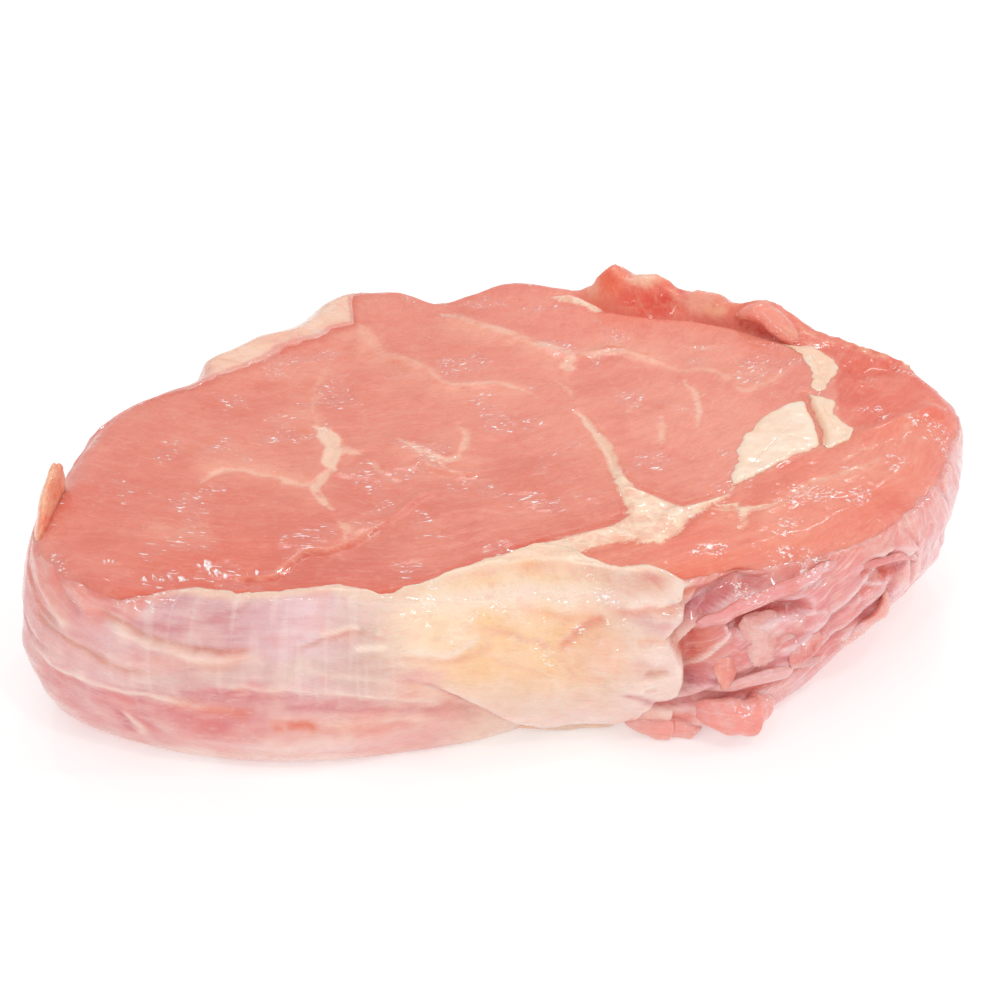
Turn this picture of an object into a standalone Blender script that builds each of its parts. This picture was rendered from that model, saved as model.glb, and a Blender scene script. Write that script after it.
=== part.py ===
"""A raw veal entrecote: one thick slice cut across the rib eye, lying on its lower cut face.

The slice is one closed solid. Its flat cut faces, bulging side wall, rounded fat pad, folded cap muscle
and torn flaps follow from the stations and strokes below, which are given in millimetres from the heart
of the eye muscle: +X runs along the slice, +Z up, and -Y is the side with the fat pad.
"""

import math

import bmesh
import bpy
import numpy as np

MM = 0.001
NAME = "entrecote"

THICKNESS = 33.0
DOME = 0.5  # how far the middle of the upper face stands above its edge
FOOT_ROUND = 2.5  # rounding where the wall meets the lower cut face
BELLY_SHAPE = 0.8  # under 1 fills the bulge out towards the rim and the foot
TUCK_SHAPE = 1.6  # over 1 keeps the tuck near the foot

# The side wall every 15 degrees round the heart, counter-clockwise from +X:
# rim radius, bulge beyond the rim, tuck of the foot inside the rim, rounding of the rim
STATIONS = (
    (77.8, 4.5, 7.9, 4.0),  # right end
    (69.5, 4.0, 7.0, 3.0),
    (60.5, 4.0, 6.0, 2.5),  # torn back flap
    (56.5, 4.0, 5.0, 2.5),
    (53.4, 4.0, 5.0, 2.5),
    (54.0, 4.0, 5.0, 2.0),
    (46.1, 4.0, 5.0, 2.0),  # notch in the back
    (55.2, 4.0, 5.0, 2.0),  # crest of the back fat
    (49.7, 4.0, 5.0, 2.0),
    (52.2, 4.0, 5.0, 2.0),
    (53.0, 4.2, 5.0, 2.0),
    (63.5, 5.3, 4.0, 3.0),
    (69.5, 4.4, 3.7, 3.0),  # left end
    (77.6, 4.8, 0.1, 3.0),
    (76.2, 3.3, 5.2, 2.0),
    (62.0, 3.5, 0.8, 1.5),  # silverskin front
    (54.8, 3.5, 2.7, 1.5),
    (46.4, 4.0, 0.4, 2.0),  # fat pad
    (46.0, 5.0, 4.5, 3.5),
    (53.4, 5.0, 9.2, 4.0),
    (57.0, 5.0, 1.7, 4.5),  # cap muscle
    (64.2, 4.0, 5.5, 4.5),
    (69.5, 6.2, 10.8, 4.5),
    (75.4, 2.9, 7.3, 4.5),
)
# Small lobes and notches of the rim: angle, lift, spread
RIM_LOBES = (
    (7.5, 1.4, 4.5), (80.0, -1.1, 4.0), (96.0, 2.9, 4.0), (129.0, 0.7, 4.0), (142.5, 2.0, 4.5),
    (151.0, -0.8, 5.0), (337.5, 0.5, 4.5), (352.5, 0.9, 4.5),
)

# Strokes on the upper cut face: (x, y) points, lift, half-width
FACE_STROKES = (
    (((57.5, -17.3), (63.3, -15.4), (70.4, -12.4), (77.1, -8.5)), 1.1, 2.2),  # cap muscle's inner ridge
    (((64.0, 4.0), (69.0, 6.0), (74.0, 5.0)), -0.9, 2.4),  # dip in the back of the cap
)

# The torn back flap stands above the face, behind a crease along the eye muscle's back rim
FLAP_CREASE = (
    (24.5, 44.5), (29.7, 37.4), (36.1, 33.2), (43.1, 31.0), (49.0, 27.2), (54.7, 21.0), (60.5, 15.0),
)
FLAP_CREASE_DEPTH = 2.6
FLAP_CREASE_HALF_WIDTH = 1.5
FLAP_LOBES = ((53.6, 5.2, 3.4), (46.0, 4.6, 5.0), (35.5, 3.4, 4.5), (25.5, 4.0, 4.5))  # angle, height, spread
FLAP_RISE = (0.8, 3.4)  # the flap rises to full height between these distances behind the crease

# Islands of fat that stand proud of the upper face: (x, y) corners and height above the face
FAT_BLOCK = (
    (54.3, -2.6), (49.4, -4.4), (43.8, -9.2), (39.1, -15.4), (37.1, -20.7), (34.5, -27.4), (37.8, -26.1),
    (41.8, -23.7), (46.9, -20.4), (51.7, -18.1), (53.2, -12.0), (53.6, -6.7),
)
FAT_WEDGE = (
    (55.2, -1.0), (54.6, -6.5), (54.4, -12.0), (53.0, -18.6), (57.4, -16.9), (58.9, -13.8), (57.5, -8.6),
    (58.9, -4.3),
)
FAT_STRIP = (
    (55.8, 17.7), (57.5, 15.4), (58.5, 11.5), (57.7, 4.2), (56.6, 1.6), (57.8, -0.6), (60.3, 2.9),
    (62.7, 6.1), (63.2, 10.4), (61.0, 15.1), (58.7, 17.1),
)
ISLANDS = ((FAT_BLOCK, 0.9), (FAT_WEDGE, 0.7), (FAT_STRIP, 0.6))
ISLAND_ROOT = 4.0  # how deep an island is sunk in the slice

# The fat pad bulges from the front: its lift, its fading left end, and its right and lower edges
PAD_LIFT = 2.4
PAD_START = (236.0, 262.0)
PAD_RIGHT_EDGE = ((0, 283), (10, 287), (12, 290), (15, 290), (21, 288), (25.6, 286), (29, 289), (33, 290))
PAD_LOWER_EDGE = ((236, 24), (244, 19), (250, 14.8), (254, 12), (260, 7.8), (268, 2.5), (276, 0), (290, 0))
PAD_EDGE_DEGREES = 1.3
PAD_EDGE_HEIGHT = 1.2

# Strokes on the side wall: (angle, height) points, lift, half-width
WALL_STROKES = (
    (((286, 25.4), (291, 27.6), (297, 29.2), (304, 30.2)), -2.8, 1.7),  # crease under the cap's cut edge
    (((293, 25.2), (298, 26.8), (304, 27.6), (312, 28.4)), 1.7, 1.7),  # fold below the crease
    (((294, 23.4), (299, 24.8), (304, 24.8), (309, 23.8)), -2.2, 1.7),  # pocket below the fold
    (((290, 24.0), (291.5, 21.0), (291.5, 16.0), (291.5, 11.0)), -2.4, 2.2),  # hollow beside the pad
    (((286, 8.0), (290, 8.2), (295, 9.8), (301, 10.0), (308, 10.4), (315, 10.0)), -2.0, 1.6),
    (((284, 4.0), (288, 4.2), (291, 4.4)), 1.6, 2.4),  # first low lobe
    (((293, 5.0), (297, 5.0), (301, 5.6)), 2.0, 2.8),  # second low lobe
    (((313.5, 28.0), (314, 22.7), (314.5, 16.5), (317, 8.7)), -1.6, 1.5),  # upright crease of the cap
    (((318, 21.0), (322, 22.5), (327, 22.0)), -1.5, 1.5),
    (((320, 15.0), (326, 16.5), (332, 18.0)), 1.3, 2.6),
    (((206, 16.5), (214, 16.0), (224, 16.6), (234, 16.4), (244, 13.8), (252, 10.4), (260, 5.4)), -1.1, 1.6),
    (((210, 31.0), (215, 27.8), (220, 25.0), (226, 24.0)), -0.8, 1.5),  # fold in the silverskin
    (((212, 9.0), (224, 8.0), (240, 7.0)), 0.9, 4.0),  # lower flesh
    (((24, 22.0), (60, 18.0), (96, 21.0), (132, 17.0), (164, 20.0)), -1.6, 2.2),  # fold along the back
)
RIPPLES = ((5, 0.5, 0.6, 9.0), (11, 0.35, 1.9, -6.0))  # waves round the wall, lift, phase, height per radian

COLUMNS = 168
DENSE_SIDE = 296.0  # the columns crowd together at this angle, where the folds are
CROWDING = 0.3
FACE_ROWS = 13
WALL_ROWS = 17
UNDER_ROWS = 3
ROWS = FACE_ROWS + WALL_ROWS + UNDER_ROWS
RIM_CROWDING = 1.8  # over 1 crowds the upper face's rows together at the rim
CURVE_STEPS = 6  # straight pieces between two points of a stroke

# A tongue of flesh off the left end and two torn shreds on the cap muscle. Each is a leaf that hugs the wall:
# angle and height of its middle, how far that is beyond the rim, half-sizes along, out and up, its lean in
# degrees, how much narrower its top is than its middle, and how far its top bends in
LEAVES = {
    "tongue": {"at": (188, 29.0), "half": (6.2, 1.8, 9.8), "reach": 1.5, "lean": 14, "taper": 0.45, "bend": 2},
    "grey": {"at": (303, 18.0), "half": (4.6, 1.3, 4.8), "reach": 3.2, "lean": -30, "taper": -0.5, "bend": 1},
    "pink": {"at": (297, 15.6), "half": (2.4, 1.4, 4.4), "reach": 3.2, "lean": -12, "taper": -0.4, "bend": 1},
}


def clear_scene():
    for thing in list(bpy.data.objects):
        bpy.data.objects.remove(thing, do_unlink=True)


def around(values, angle):
    """Values at equal steps round the slice, joined by a closed cubic curve, read at angles in radians."""
    values = np.asarray(values, float)
    place = angle / math.tau * len(values) % len(values)
    first = np.floor(place).astype(int)
    part = place - first
    before, here, after, beyond = (values[(first + k) % len(values)] for k in (-1, 0, 1, 2))
    bend = 2 * before - 5 * here + 4 * after - beyond + part * (3 * (here - after) + beyond - before)
    return here + 0.5 * part * (after - before + part * bend)


def ease(low, high, value):
    """0 below low and 1 above high, with a smooth step between."""
    share = np.clip((value - low) / (high - low), 0, 1)
    return share * share * (3 - 2 * share)


def curve_through(points):
    """The stroke's points joined by a smooth open curve."""
    points = np.asarray(points, float)
    padded = np.vstack([2 * points[0] - points[1], points, 2 * points[-1] - points[-2]])
    part = np.linspace(0, 1, CURVE_STEPS, endpoint=False)[:, None]
    pieces = []
    for before, here, after, beyond in zip(padded, padded[1:], padded[2:], padded[3:]):
        bend = 2 * before - 5 * here + 4 * after - beyond + part * (3 * (here - after) + beyond - before)
        pieces.append(here + 0.5 * part * (after - before + part * bend))
    return np.vstack(pieces + [points[-1:]])


def distance_to(line, places):
    """How far each place is from a chain of straight pieces, and where along it, from 0 to 1."""
    nearest = np.full(len(places), np.inf)
    along = np.zeros(len(places))
    for k, (start, end) in enumerate(zip(line, line[1:])):
        run = end - start
        share = np.clip((places - start) @ run / max(run @ run, 1e-9), 0, 1)
        away = np.hypot(*(places - start - share[:, None] * run).T)
        closer = away < nearest
        along = np.where(closer, (k + share) / (len(line) - 1), along)
        nearest = np.minimum(nearest, away)
    return nearest, along


def stroke(points, lift, half_width, places):
    """A groove or ridge along a smooth line, as a bell across it that dies away at both ends."""
    away, along = distance_to(curve_through(points), places)
    ends = ease(0, 0.15, along) * ease(0, 0.15, 1 - along)
    return lift * np.exp(-((away / half_width) ** 2)) * ends


def edge_at(edge, values):
    """The edge's second figure at each value of its first."""
    return np.interp(values, *zip(*edge))


def face_height(x, y):
    """The upper cut face: nearly flat, with a ridge, and the torn flap behind its crease."""
    places = np.stack([x, y], 1)
    angle = np.degrees(np.arctan2(y, x))
    height = THICKNESS + DOME * (np.cos(x / 34.0) * np.cos(y / 24.0) - 1)
    for points, lift, half_width in FACE_STROKES:
        height += stroke(points, lift, half_width, places)
    crease = curve_through(FLAP_CREASE)
    height += stroke(FLAP_CREASE, -FLAP_CREASE_DEPTH, FLAP_CREASE_HALF_WIDTH, places)
    crease_angle = np.degrees(np.arctan2(crease[:, 1], crease[:, 0]))
    order = np.argsort(crease_angle)
    crease_radius = np.interp(angle, crease_angle[order], np.hypot(*crease.T)[order])
    behind = ease(*FLAP_RISE, np.hypot(x, y) - crease_radius)
    beside = ease(crease_angle.min() - 4, crease_angle.min() + 4, angle)
    for lobe_angle, lobe_height, spread in FLAP_LOBES:
        height += lobe_height * np.exp(-(((angle - lobe_angle) / spread) ** 2)) * behind * beside
    return height


def pad_relief(degrees, height):
    """The fat pad: it fades in on the left and ends in a lip on the right and below."""
    right = edge_at(PAD_RIGHT_EDGE, height)
    lower = edge_at(PAD_LOWER_EDGE, degrees)
    left_part = ease(*PAD_START, degrees)
    right_part = ease(right + PAD_EDGE_DEGREES, right - PAD_EDGE_DEGREES, degrees)
    lower_part = ease(lower - PAD_EDGE_HEIGHT, lower + PAD_EDGE_HEIGHT, height)
    return PAD_LIFT * left_part * right_part * lower_part


def wall_relief(angle, height):
    """How far folds, creases, the fat pad and the low lobes stand out from the plain wall."""
    degrees = np.degrees(angle) % 360
    mean_radius = np.mean([station[0] for station in STATIONS])
    millimetres = math.radians(1) * mean_radius
    places = np.stack([degrees * millimetres, height], 1)
    scale = np.array([millimetres, 1.0])
    relief = pad_relief(degrees, height)
    for waves, lift, phase, per_radian in RIPPLES:
        relief += lift * np.sin(waves * angle + phase + height / per_radian)
    for points, lift, half_width in WALL_STROKES:
        relief += stroke(np.array(points) * scale, lift, half_width, places)
    return relief * ease(0.0, 3.0, height) * ease(0.0, 2.0, THICKNESS - height)


def rim_radius(angle):
    """The rim from the stations, with its small lobes and notches."""
    radius = around([station[0] for station in STATIONS], angle)
    for lobe_angle, lift, spread in RIM_LOBES:
        away = (np.degrees(angle) - lobe_angle + 180) % 360 - 180
        radius = radius + lift * np.exp(-((away / spread) ** 2))
    return radius


def slice_points(angle, row):
    """Each point of the slice, from its angle and its row: upper face, then wall, then lower face."""
    _, belly, tuck, rim_round = (around(values, angle) for values in zip(*STATIONS))
    down = np.clip((row - FACE_ROWS) / WALL_ROWS, 0, 1)
    level = 1 - down
    radius = rim_radius(angle) + belly * (4 * down * level) ** BELLY_SHAPE - tuck * down**TUCK_SHAPE
    drop = np.clip(THICKNESS * down / rim_round, 0, 1)
    radius -= rim_round * (1 - np.sqrt(1 - (1 - drop) ** 2))
    rise = np.clip(THICKNESS * level / FOOT_ROUND, 0, 1)
    radius -= FOOT_ROUND * (1 - np.sqrt(1 - (1 - rise) ** 2))
    radius += wall_relief(angle, THICKNESS * level) * (down > 0)
    radius *= 1 - (1 - np.clip(row / FACE_ROWS, 0, 1)) ** RIM_CROWDING
    radius *= np.clip((ROWS - row) / UNDER_ROWS, 0, 1)
    x, y = radius * np.cos(angle), radius * np.sin(angle)
    return np.stack([x, y, face_height(x, y) * level], 1)


def set_points(mesh, points):
    mesh.vertices.foreach_set("co", points.astype(np.float32).ravel())
    mesh.update()


def read_points(mesh):
    points = np.empty(len(mesh.vertices) * 3, np.float32)
    mesh.vertices.foreach_get("co", points)
    return points.reshape(-1, 3).astype(float)


def make_slice():
    """The slice itself, a globe of columns and rows pressed into the slice's shape."""
    bpy.ops.mesh.primitive_uv_sphere_add(segments=COLUMNS, ring_count=ROWS, radius=1)
    slice_object = bpy.context.active_object
    slice_object.name = NAME
    globe = read_points(slice_object.data)
    angle = np.arctan2(globe[:, 1], globe[:, 0])
    angle = (angle - CROWDING * np.sin(angle - math.radians(DENSE_SIDE))) % math.tau
    row = np.round(np.arccos(np.clip(globe[:, 2], -1, 1)) / math.pi * ROWS)
    set_points(slice_object.data, slice_points(angle, row) * MM)
    return slice_object


def make_leaf(name, shape):
    """A thin leaf of flesh that hugs the wall and leans over. Its inner side is sunk in the slice."""
    bpy.ops.mesh.primitive_uv_sphere_add(segments=20, ring_count=10, radius=1)
    leaf = bpy.context.active_object
    leaf.name = name
    lens = read_points(leaf.data)
    lens[:, 0] *= 1 - shape["taper"] * lens[:, 2]
    inward = shape["bend"] * lens[:, 2]
    along, out, up = (lens * np.array(shape["half"])).T
    lean = math.radians(shape["lean"])
    along, up = along * math.cos(lean) - up * math.sin(lean), along * math.sin(lean) + up * math.cos(lean)
    middle = np.array([math.radians(shape["at"][0])])
    angle = middle + along / rim_radius(middle)
    radius = rim_radius(angle) + shape["reach"] + out - inward
    points = np.stack([radius * np.cos(angle), radius * np.sin(angle), shape["at"][1] + up], 1)
    set_points(leaf.data, points * MM)
    return leaf


def make_island(name, corners, rise):
    """A flat-topped island of fat, as its outline drawn on the upper face and extruded."""
    middle = np.mean(corners, axis=0)
    top = face_height(middle[:1], middle[1:])[0] + rise
    mesh = bpy.data.meshes.new(name)
    shape = bmesh.new()
    outline = [shape.verts.new((x * MM, y * MM, (THICKNESS - ISLAND_ROOT) * MM)) for x, y in corners]
    base = shape.faces.new(outline)
    lifted = bmesh.ops.extrude_face_region(shape, geom=[base])["geom"]
    moved = [item for item in lifted if isinstance(item, bmesh.types.BMVert)]
    bmesh.ops.translate(shape, verts=moved, vec=(0, 0, (top - THICKNESS + ISLAND_ROOT) * MM))
    bmesh.ops.recalc_face_normals(shape, faces=shape.faces)
    shape.to_mesh(mesh)
    shape.free()
    island = bpy.data.objects.new(name, mesh)
    bpy.context.scene.collection.objects.link(island)
    return island


def veal_material():
    """Pale pink veal, moist and fairly smooth."""
    material = bpy.data.materials.new("veal")
    material.use_nodes = True
    shader = material.node_tree.nodes["Principled BSDF"]
    shader.inputs["Base Color"].default_value = (0.80, 0.30, 0.23, 1.0)
    shader.inputs["Roughness"].default_value = 0.35
    shader.inputs["Metallic"].default_value = 0.0
    return material


def move_to(collection, thing):
    for other in list(thing.users_collection):
        other.objects.unlink(thing)
    collection.objects.link(thing)


def fuse(slice_object, additions):
    """Fuses the additions to the slice as one solid, and removes them."""
    join = slice_object.modifiers.new("fuse", "BOOLEAN")
    join.operation = "UNION"
    join.operand_type = "COLLECTION"
    join.collection = additions
    join.solver = "EXACT"
    bpy.context.view_layer.objects.active = slice_object
    slice_object.select_set(True)
    bpy.ops.object.modifier_apply(modifier=join.name)
    for addition in list(additions.objects):
        bpy.data.objects.remove(addition, do_unlink=True)
    bpy.data.collections.remove(additions)


def centre_over_origin(slice_object):
    """Puts the middle of the box above the origin, and leaves the lower face on the ground."""
    points = read_points(slice_object.data)
    points[:, :2] -= (points.min(0) + points.max(0))[:2] / 2
    set_points(slice_object.data, points)


def build():
    clear_scene()
    parts = bpy.data.collections.new("raw veal entrecote")
    bpy.context.scene.collection.children.link(parts)
    slice_object = make_slice()
    move_to(parts, slice_object)
    additions = bpy.data.collections.new("additions")
    bpy.context.scene.collection.children.link(additions)
    for name, shape in LEAVES.items():
        move_to(additions, make_leaf(name, shape))
    for number, (corners, rise) in enumerate(ISLANDS, 1):
        move_to(additions, make_island(f"fat_island_{number}", corners, rise))
    fuse(slice_object, additions)
    centre_over_origin(slice_object)
    slice_object.data.materials.clear()
    slice_object.data.materials.append(veal_material())
    slice_object.data.shade_smooth()


build()
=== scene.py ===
import math
from types import SimpleNamespace

import bpy
import numpy as np
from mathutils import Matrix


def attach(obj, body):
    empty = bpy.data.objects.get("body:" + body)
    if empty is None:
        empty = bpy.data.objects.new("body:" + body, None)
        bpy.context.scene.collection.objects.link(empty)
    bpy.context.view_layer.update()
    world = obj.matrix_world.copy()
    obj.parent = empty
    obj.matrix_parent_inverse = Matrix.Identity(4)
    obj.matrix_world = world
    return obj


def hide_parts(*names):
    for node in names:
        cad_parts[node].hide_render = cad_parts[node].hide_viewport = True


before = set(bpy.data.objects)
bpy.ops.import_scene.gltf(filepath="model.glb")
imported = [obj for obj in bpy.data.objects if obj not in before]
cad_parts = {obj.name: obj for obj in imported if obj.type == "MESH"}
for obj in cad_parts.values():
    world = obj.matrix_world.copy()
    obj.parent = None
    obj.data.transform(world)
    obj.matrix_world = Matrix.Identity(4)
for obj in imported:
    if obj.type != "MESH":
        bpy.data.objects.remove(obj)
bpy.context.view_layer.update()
print("frame loaded")

# forms of the slice, in millimetres from the heart of the eye muscle

sliceForm = {
    "heart": (-0.60, 0.77),
    "thickness": 33.0,
    "dome": 0.5,
    "domeSpread": (34.0, 24.0),
    "footRound": 2.5,
    "bellyShape": 0.8,
    "tuckShape": 1.6,
    # every 15 degrees from +X: rim radius, bulge, tuck of the foot, rounding of the rim
    "stations": [
        (77.8, 4.5, 7.9, 4.0), (69.5, 4.0, 7.0, 3.0), (60.5, 4.0, 6.0, 2.5), (56.5, 4.0, 5.0, 2.5),
        (53.4, 4.0, 5.0, 2.5), (54.0, 4.0, 5.0, 2.0), (46.1, 4.0, 5.0, 2.0), (55.2, 4.0, 5.0, 2.0),
        (49.7, 4.0, 5.0, 2.0), (52.2, 4.0, 5.0, 2.0), (53.0, 4.2, 5.0, 2.0), (63.5, 5.3, 4.0, 3.0),
        (69.5, 4.4, 3.7, 3.0), (77.6, 4.8, 0.1, 3.0), (76.2, 3.3, 5.2, 2.0), (62.0, 3.5, 0.8, 1.5),
        (54.8, 3.5, 2.7, 1.5), (46.4, 4.0, 0.4, 2.0), (46.0, 5.0, 4.5, 3.5), (53.4, 5.0, 9.2, 4.0),
        (57.0, 5.0, 1.7, 4.5), (64.2, 4.0, 5.5, 4.5), (69.5, 6.2, 10.8, 4.5), (75.4, 2.9, 7.3, 4.5),
    ],
    "rimLobes": [  # angle, lift, spread
        (7.5, 1.4, 4.5), (80.0, -1.1, 4.0), (96.0, 2.9, 4.0), (129.0, 0.7, 4.0), (142.5, 2.0, 4.5),
        (151.0, -0.8, 5.0), (337.5, 0.5, 4.5), (352.5, 0.9, 4.5),
    ],
    "ripples": [(5, 0.5, 0.6, 9.0), (11, 0.35, 1.9, -6.0)],
    "denseSide": 296.0,
    "crowding": 0.3,
}

flapForm = {  # the torn flap along the back of the eye muscle
    "crease": [(24.5, 44.5), (29.7, 37.4), (36.1, 33.2), (43.1, 31.0), (49.0, 27.2), (54.7, 21.0), (60.5, 15.0)],
    "depth": 1.8,
    "halfWidth": 0.9,
    "lobes": [(53.6, 5.2, 3.4), (46.0, 4.6, 5.0), (35.5, 3.4, 4.5), (25.5, 4.0, 4.5)],
    "rise": (0.6, 3.0),
    "pocket": (44.0, 5.0, 1.8),
    # the deep reds in the pocket and the crease are partly painted shade, and the palest colours on the ridge partly
    # painted highlight
    "patches": [  # angle, height, half-angle, half-height, colour, strength
        (57.0, 34.0, 2.6, 1.8, (246, 178, 156), 0.8), (52.6, 36.2, 3.0, 2.2, (249, 138, 110), 0.95),
        (44.4, 33.4, 6.5, 1.9, (236, 104, 88), 0.95), (40.6, 33.6, 2.6, 1.7, (226, 94, 82), 0.95),
        (46.6, 37.0, 2.8, 0.9, (251, 204, 176), 0.95), (35.4, 34.8, 3.4, 2.2, (247, 178, 158), 1.0),
        (33.0, 33.6, 2.4, 0.8, (251, 190, 156), 0.9), (25.0, 32.3, 8.0, 0.7, (212, 76, 64), 0.8),
        (24.4, 35.2, 5.2, 2.2, (248, 146, 128), 0.95), (16.0, 33.2, 3.6, 1.6, (236, 128, 112), 0.8),
    ],
}

faceLines = [  # (points, lift, half-width) on the upper cut face
    ([(57.5, -17.3), (63.3, -15.4), (70.4, -12.4), (77.1, -8.5)], 1.1, 2.0),
    ([(64.0, 4.0), (69.0, 6.0), (74.0, 5.0)], -0.9, 2.4),
    ([(15.1, 0.7), (16.4, -5.1), (17.1, -12.4), (16.6, -18.3), (16.0, -25.0)], -0.4, 0.8),
    ([(55.0, 0.5), (54.3, -6.0), (54.1, -12.0), (52.6, -19.0)], -1.0, 0.7),
    ([(-2.0, 43.0), (5.1, 35.8), (12.8, 26.8), (19.2, 19.8), (26.7, 20.5), (35.8, 11.4)], 0.35, 1.3),
    ([(-13.1, 28.5), (-10.2, 25.3), (-7.3, 21.0), (-3.9, 14.0), (4.6, 13.0)], 0.4, 1.2),
    ([(-14.5, -9.5), (-11.0, -14.0), (-5.0, -16.5)], 0.5, 0.9),
    ([(-23.0, -27.4), (-19.8, -24.8), (-16.5, -21.5), (-12.5, -19.5)], 0.3, 1.0),
]

ledgeForm = {  # a torn step near the front of the eye muscle; the front side lies lower
    "line": [(-49.0, -40.6), (-46.6, -38.9), (-44.6, -39.6), (-41.9, -39.4), (-39.7, -36.7), (-38.0, -34.8),
             (-35.5, -33.2), (-32.7, -33.6), (-28.5, -32.0), (-24.9, -29.2), (-21.5, -26.8)],
    "drop": 0.55,
    "edge": 0.35,
    "reach": 8.0,
}

padForm = {
    "lift": 2.4,
    "start": (236.0, 262.0),
    "rightEdge": [(0, 283), (10, 287), (12, 290), (15, 290), (21, 288), (25.6, 286), (29, 289), (33, 290)],
    "lowerEdge": [(236, 24), (244, 19), (250, 14.8), (254, 12), (260, 7.8), (268, 2.5), (276, 0), (290, 0)],
    "edgeDegrees": 1.5,
    "edgeHeight": 1.0,
}

wallLines = [  # main folds of the wall: (angle, height) points, lift, half-width; angles run from 180 to 540
    ([(286, 25.4), (291, 27.6), (297, 29.2), (304, 30.2)], -2.8, 1.2),
    ([(293, 25.2), (298, 26.8), (304, 27.6), (312, 28.4)], 1.6, 1.5),
    ([(296, 23.0), (301, 24.0), (306, 23.6), (310, 22.6)], -2.6, 1.4),
    ([(290, 24.0), (291.5, 21.0), (291.5, 16.0), (291.5, 11.0)], -2.4, 2.0),
    ([(286, 8.0), (290, 8.2), (295, 9.8), (301, 10.0), (308, 10.4), (315, 10.0)], -2.0, 1.2),
    ([(284, 4.0), (288, 4.2), (291, 4.4)], 1.2, 2.4),
    ([(293, 5.0), (297, 5.0), (301, 5.6)], 1.6, 2.8),
    ([(313.5, 28.0), (314, 22.7), (314.5, 16.5), (317, 8.7)], -0.5, 1.3),
    ([(318, 21.0), (322, 22.5), (327, 22.0)], -1.5, 1.2),
    ([(320, 15.0), (326, 16.5), (332, 18.0)], 1.3, 2.6),
    ([(206, 16.5), (214, 15.2), (224, 15.0), (234, 14.6), (244, 12.8), (252, 10.4), (260, 5.4)], -0.6, 1.2),
    ([(206, 29.6), (212, 27.2), (218, 24.2), (226, 23.4)], -0.4, 0.9),
    ([(212, 9.0), (224, 8.0), (240, 7.0)], 0.9, 4.0),
    ([(384, 22.0), (420, 18.0), (456, 21.0), (492, 17.0), (524, 20.0)], -1.6, 2.0),
]

# how far in from the rim the skin or fat reaches at each angle; below 0 it starts down the wall
skinReach = [
    (0, -3.0), (20, -3.0), (40, -3.5), (60, -2.5), (90, -1.0), (104, 0.0), (106, 2.5), (109.5, 7.6), (111.7, 10.3),
    (117.5, 6.6), (125.5, 6.6), (133.6, 7.6), (142.4, 8.0), (148.6, 2.5), (154.5, 2.8), (160, 0.5), (170, -1.0),
    (180, -2.0), (196.8, -2.2), (203.2, -2.0), (210.5, -1.6), (213.5, 0.8), (216.5, 3.4), (218.4, 2.0), (222, 0.5),
    (226.2, 1.5), (230.6, 2.7), (233.6, 3.4), (236.7, 1.9), (240.4, 0.2), (242.9, 0.6), (247.1, 1.4), (252.8, 2.3),
    (260.5, 4.2), (267.4, 6.6), (271, 7.8), (274, 8.2), (276.5, 7.4), (278.5, 5.6), (280.5, 4.4), (283, 4.0),
    (286.5, 4.4), (289, 2.6), (291, 0.4), (294, -0.6), (300, -1.6), (320, -2.5), (360, -3.0),
]

sparkleSpots = [  # angle, height, radius: where moisture gathers on the wall, shown by painted glints
    (255.5, 27.8, 1.4), (260.2, 28.7, 1.5), (276.8, 31.6, 1.1), (278.5, 30.6, 0.9), (273.5, 25.6, 1.2),
    (279.8, 27.3, 1.0), (268.2, 20.3, 1.4), (300.2, 27.7, 1.8), (310.0, 29.3, 2.2), (297.5, 22.5, 1.2),
    (297.8, 8.0, 1.2), (309.2, 31.4, 1.4), (330.5, 31.6, 1.8), (214.5, 31.8, 1.8), (211.0, 31.2, 1.6),
    (248.0, 31.6, 1.6), (205.0, 28.0, 1.0), (252.0, 24.5, 1.0), (321.0, 23.0, 1.2), (318.0, 12.0, 1.2),
    (420.0, 26.0, 2.0), (470.0, 24.0, 2.0), (515.0, 20.0, 1.8),
]

# mathematics that the pieces share


def ease(low, high, value):
    # a smooth step from 0 at low to 1 at high: 3 s^2 - 2 s^3
    share = np.clip((value - low) / (high - low), 0, 1)
    return share * share * (3 - 2 * share)


def band(value, start, full, last, end):
    # a smooth step up from start to full, times a smooth step down from last to end
    return ease(start, full, value) * ease(end, last, value)


def tapered(along, share):
    # 1 along a line, with a smooth step down to 0 over a share of it at each end
    return ease(0, share, along) * ease(0, share, 1 - along)


def bell(away, width):
    # e to the power of -(away / width)^2
    return np.exp(-((away / width) ** 2))


def spot(places, middle, spread):
    # the bell of each place's distance to the middle
    return np.exp(-(((places - middle) ** 2).sum(1)) / spread**2)


def cubic(before, here, after, beyond, part):
    # the cubic curve through four values, from the second at part 0 to the third at part 1
    bend = 2 * before - 5 * here + 4 * after - beyond + part * (3 * (here - after) + beyond - before)
    return here + 0.5 * part * (after - before + part * bend)


def around(values, angle):
    # values at equal steps round the slice, joined by a closed cubic curve, read at each angle
    values = np.asarray(values, float)
    place = angle / math.tau * len(values) % len(values)
    first = np.floor(place).astype(int)
    return cubic(*(values[(first + k) % len(values)] for k in (-1, 0, 1, 2)), place - first)


def curveThrough(points, steps=5):
    # the points joined by a smooth open curve, with so many steps between each two
    points = np.asarray(points, float)
    padded = np.vstack([2 * points[0] - points[1], points, 2 * points[-1] - points[-2]])
    part = np.linspace(0, 1, steps, endpoint=False)[:, None]
    pieces = [cubic(*four, part) for four in zip(padded, padded[1:], padded[2:], padded[3:])]
    return np.vstack(pieces + [points[-1:]])


farAway = 1e3  # millimetres: farther than any line


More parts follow.
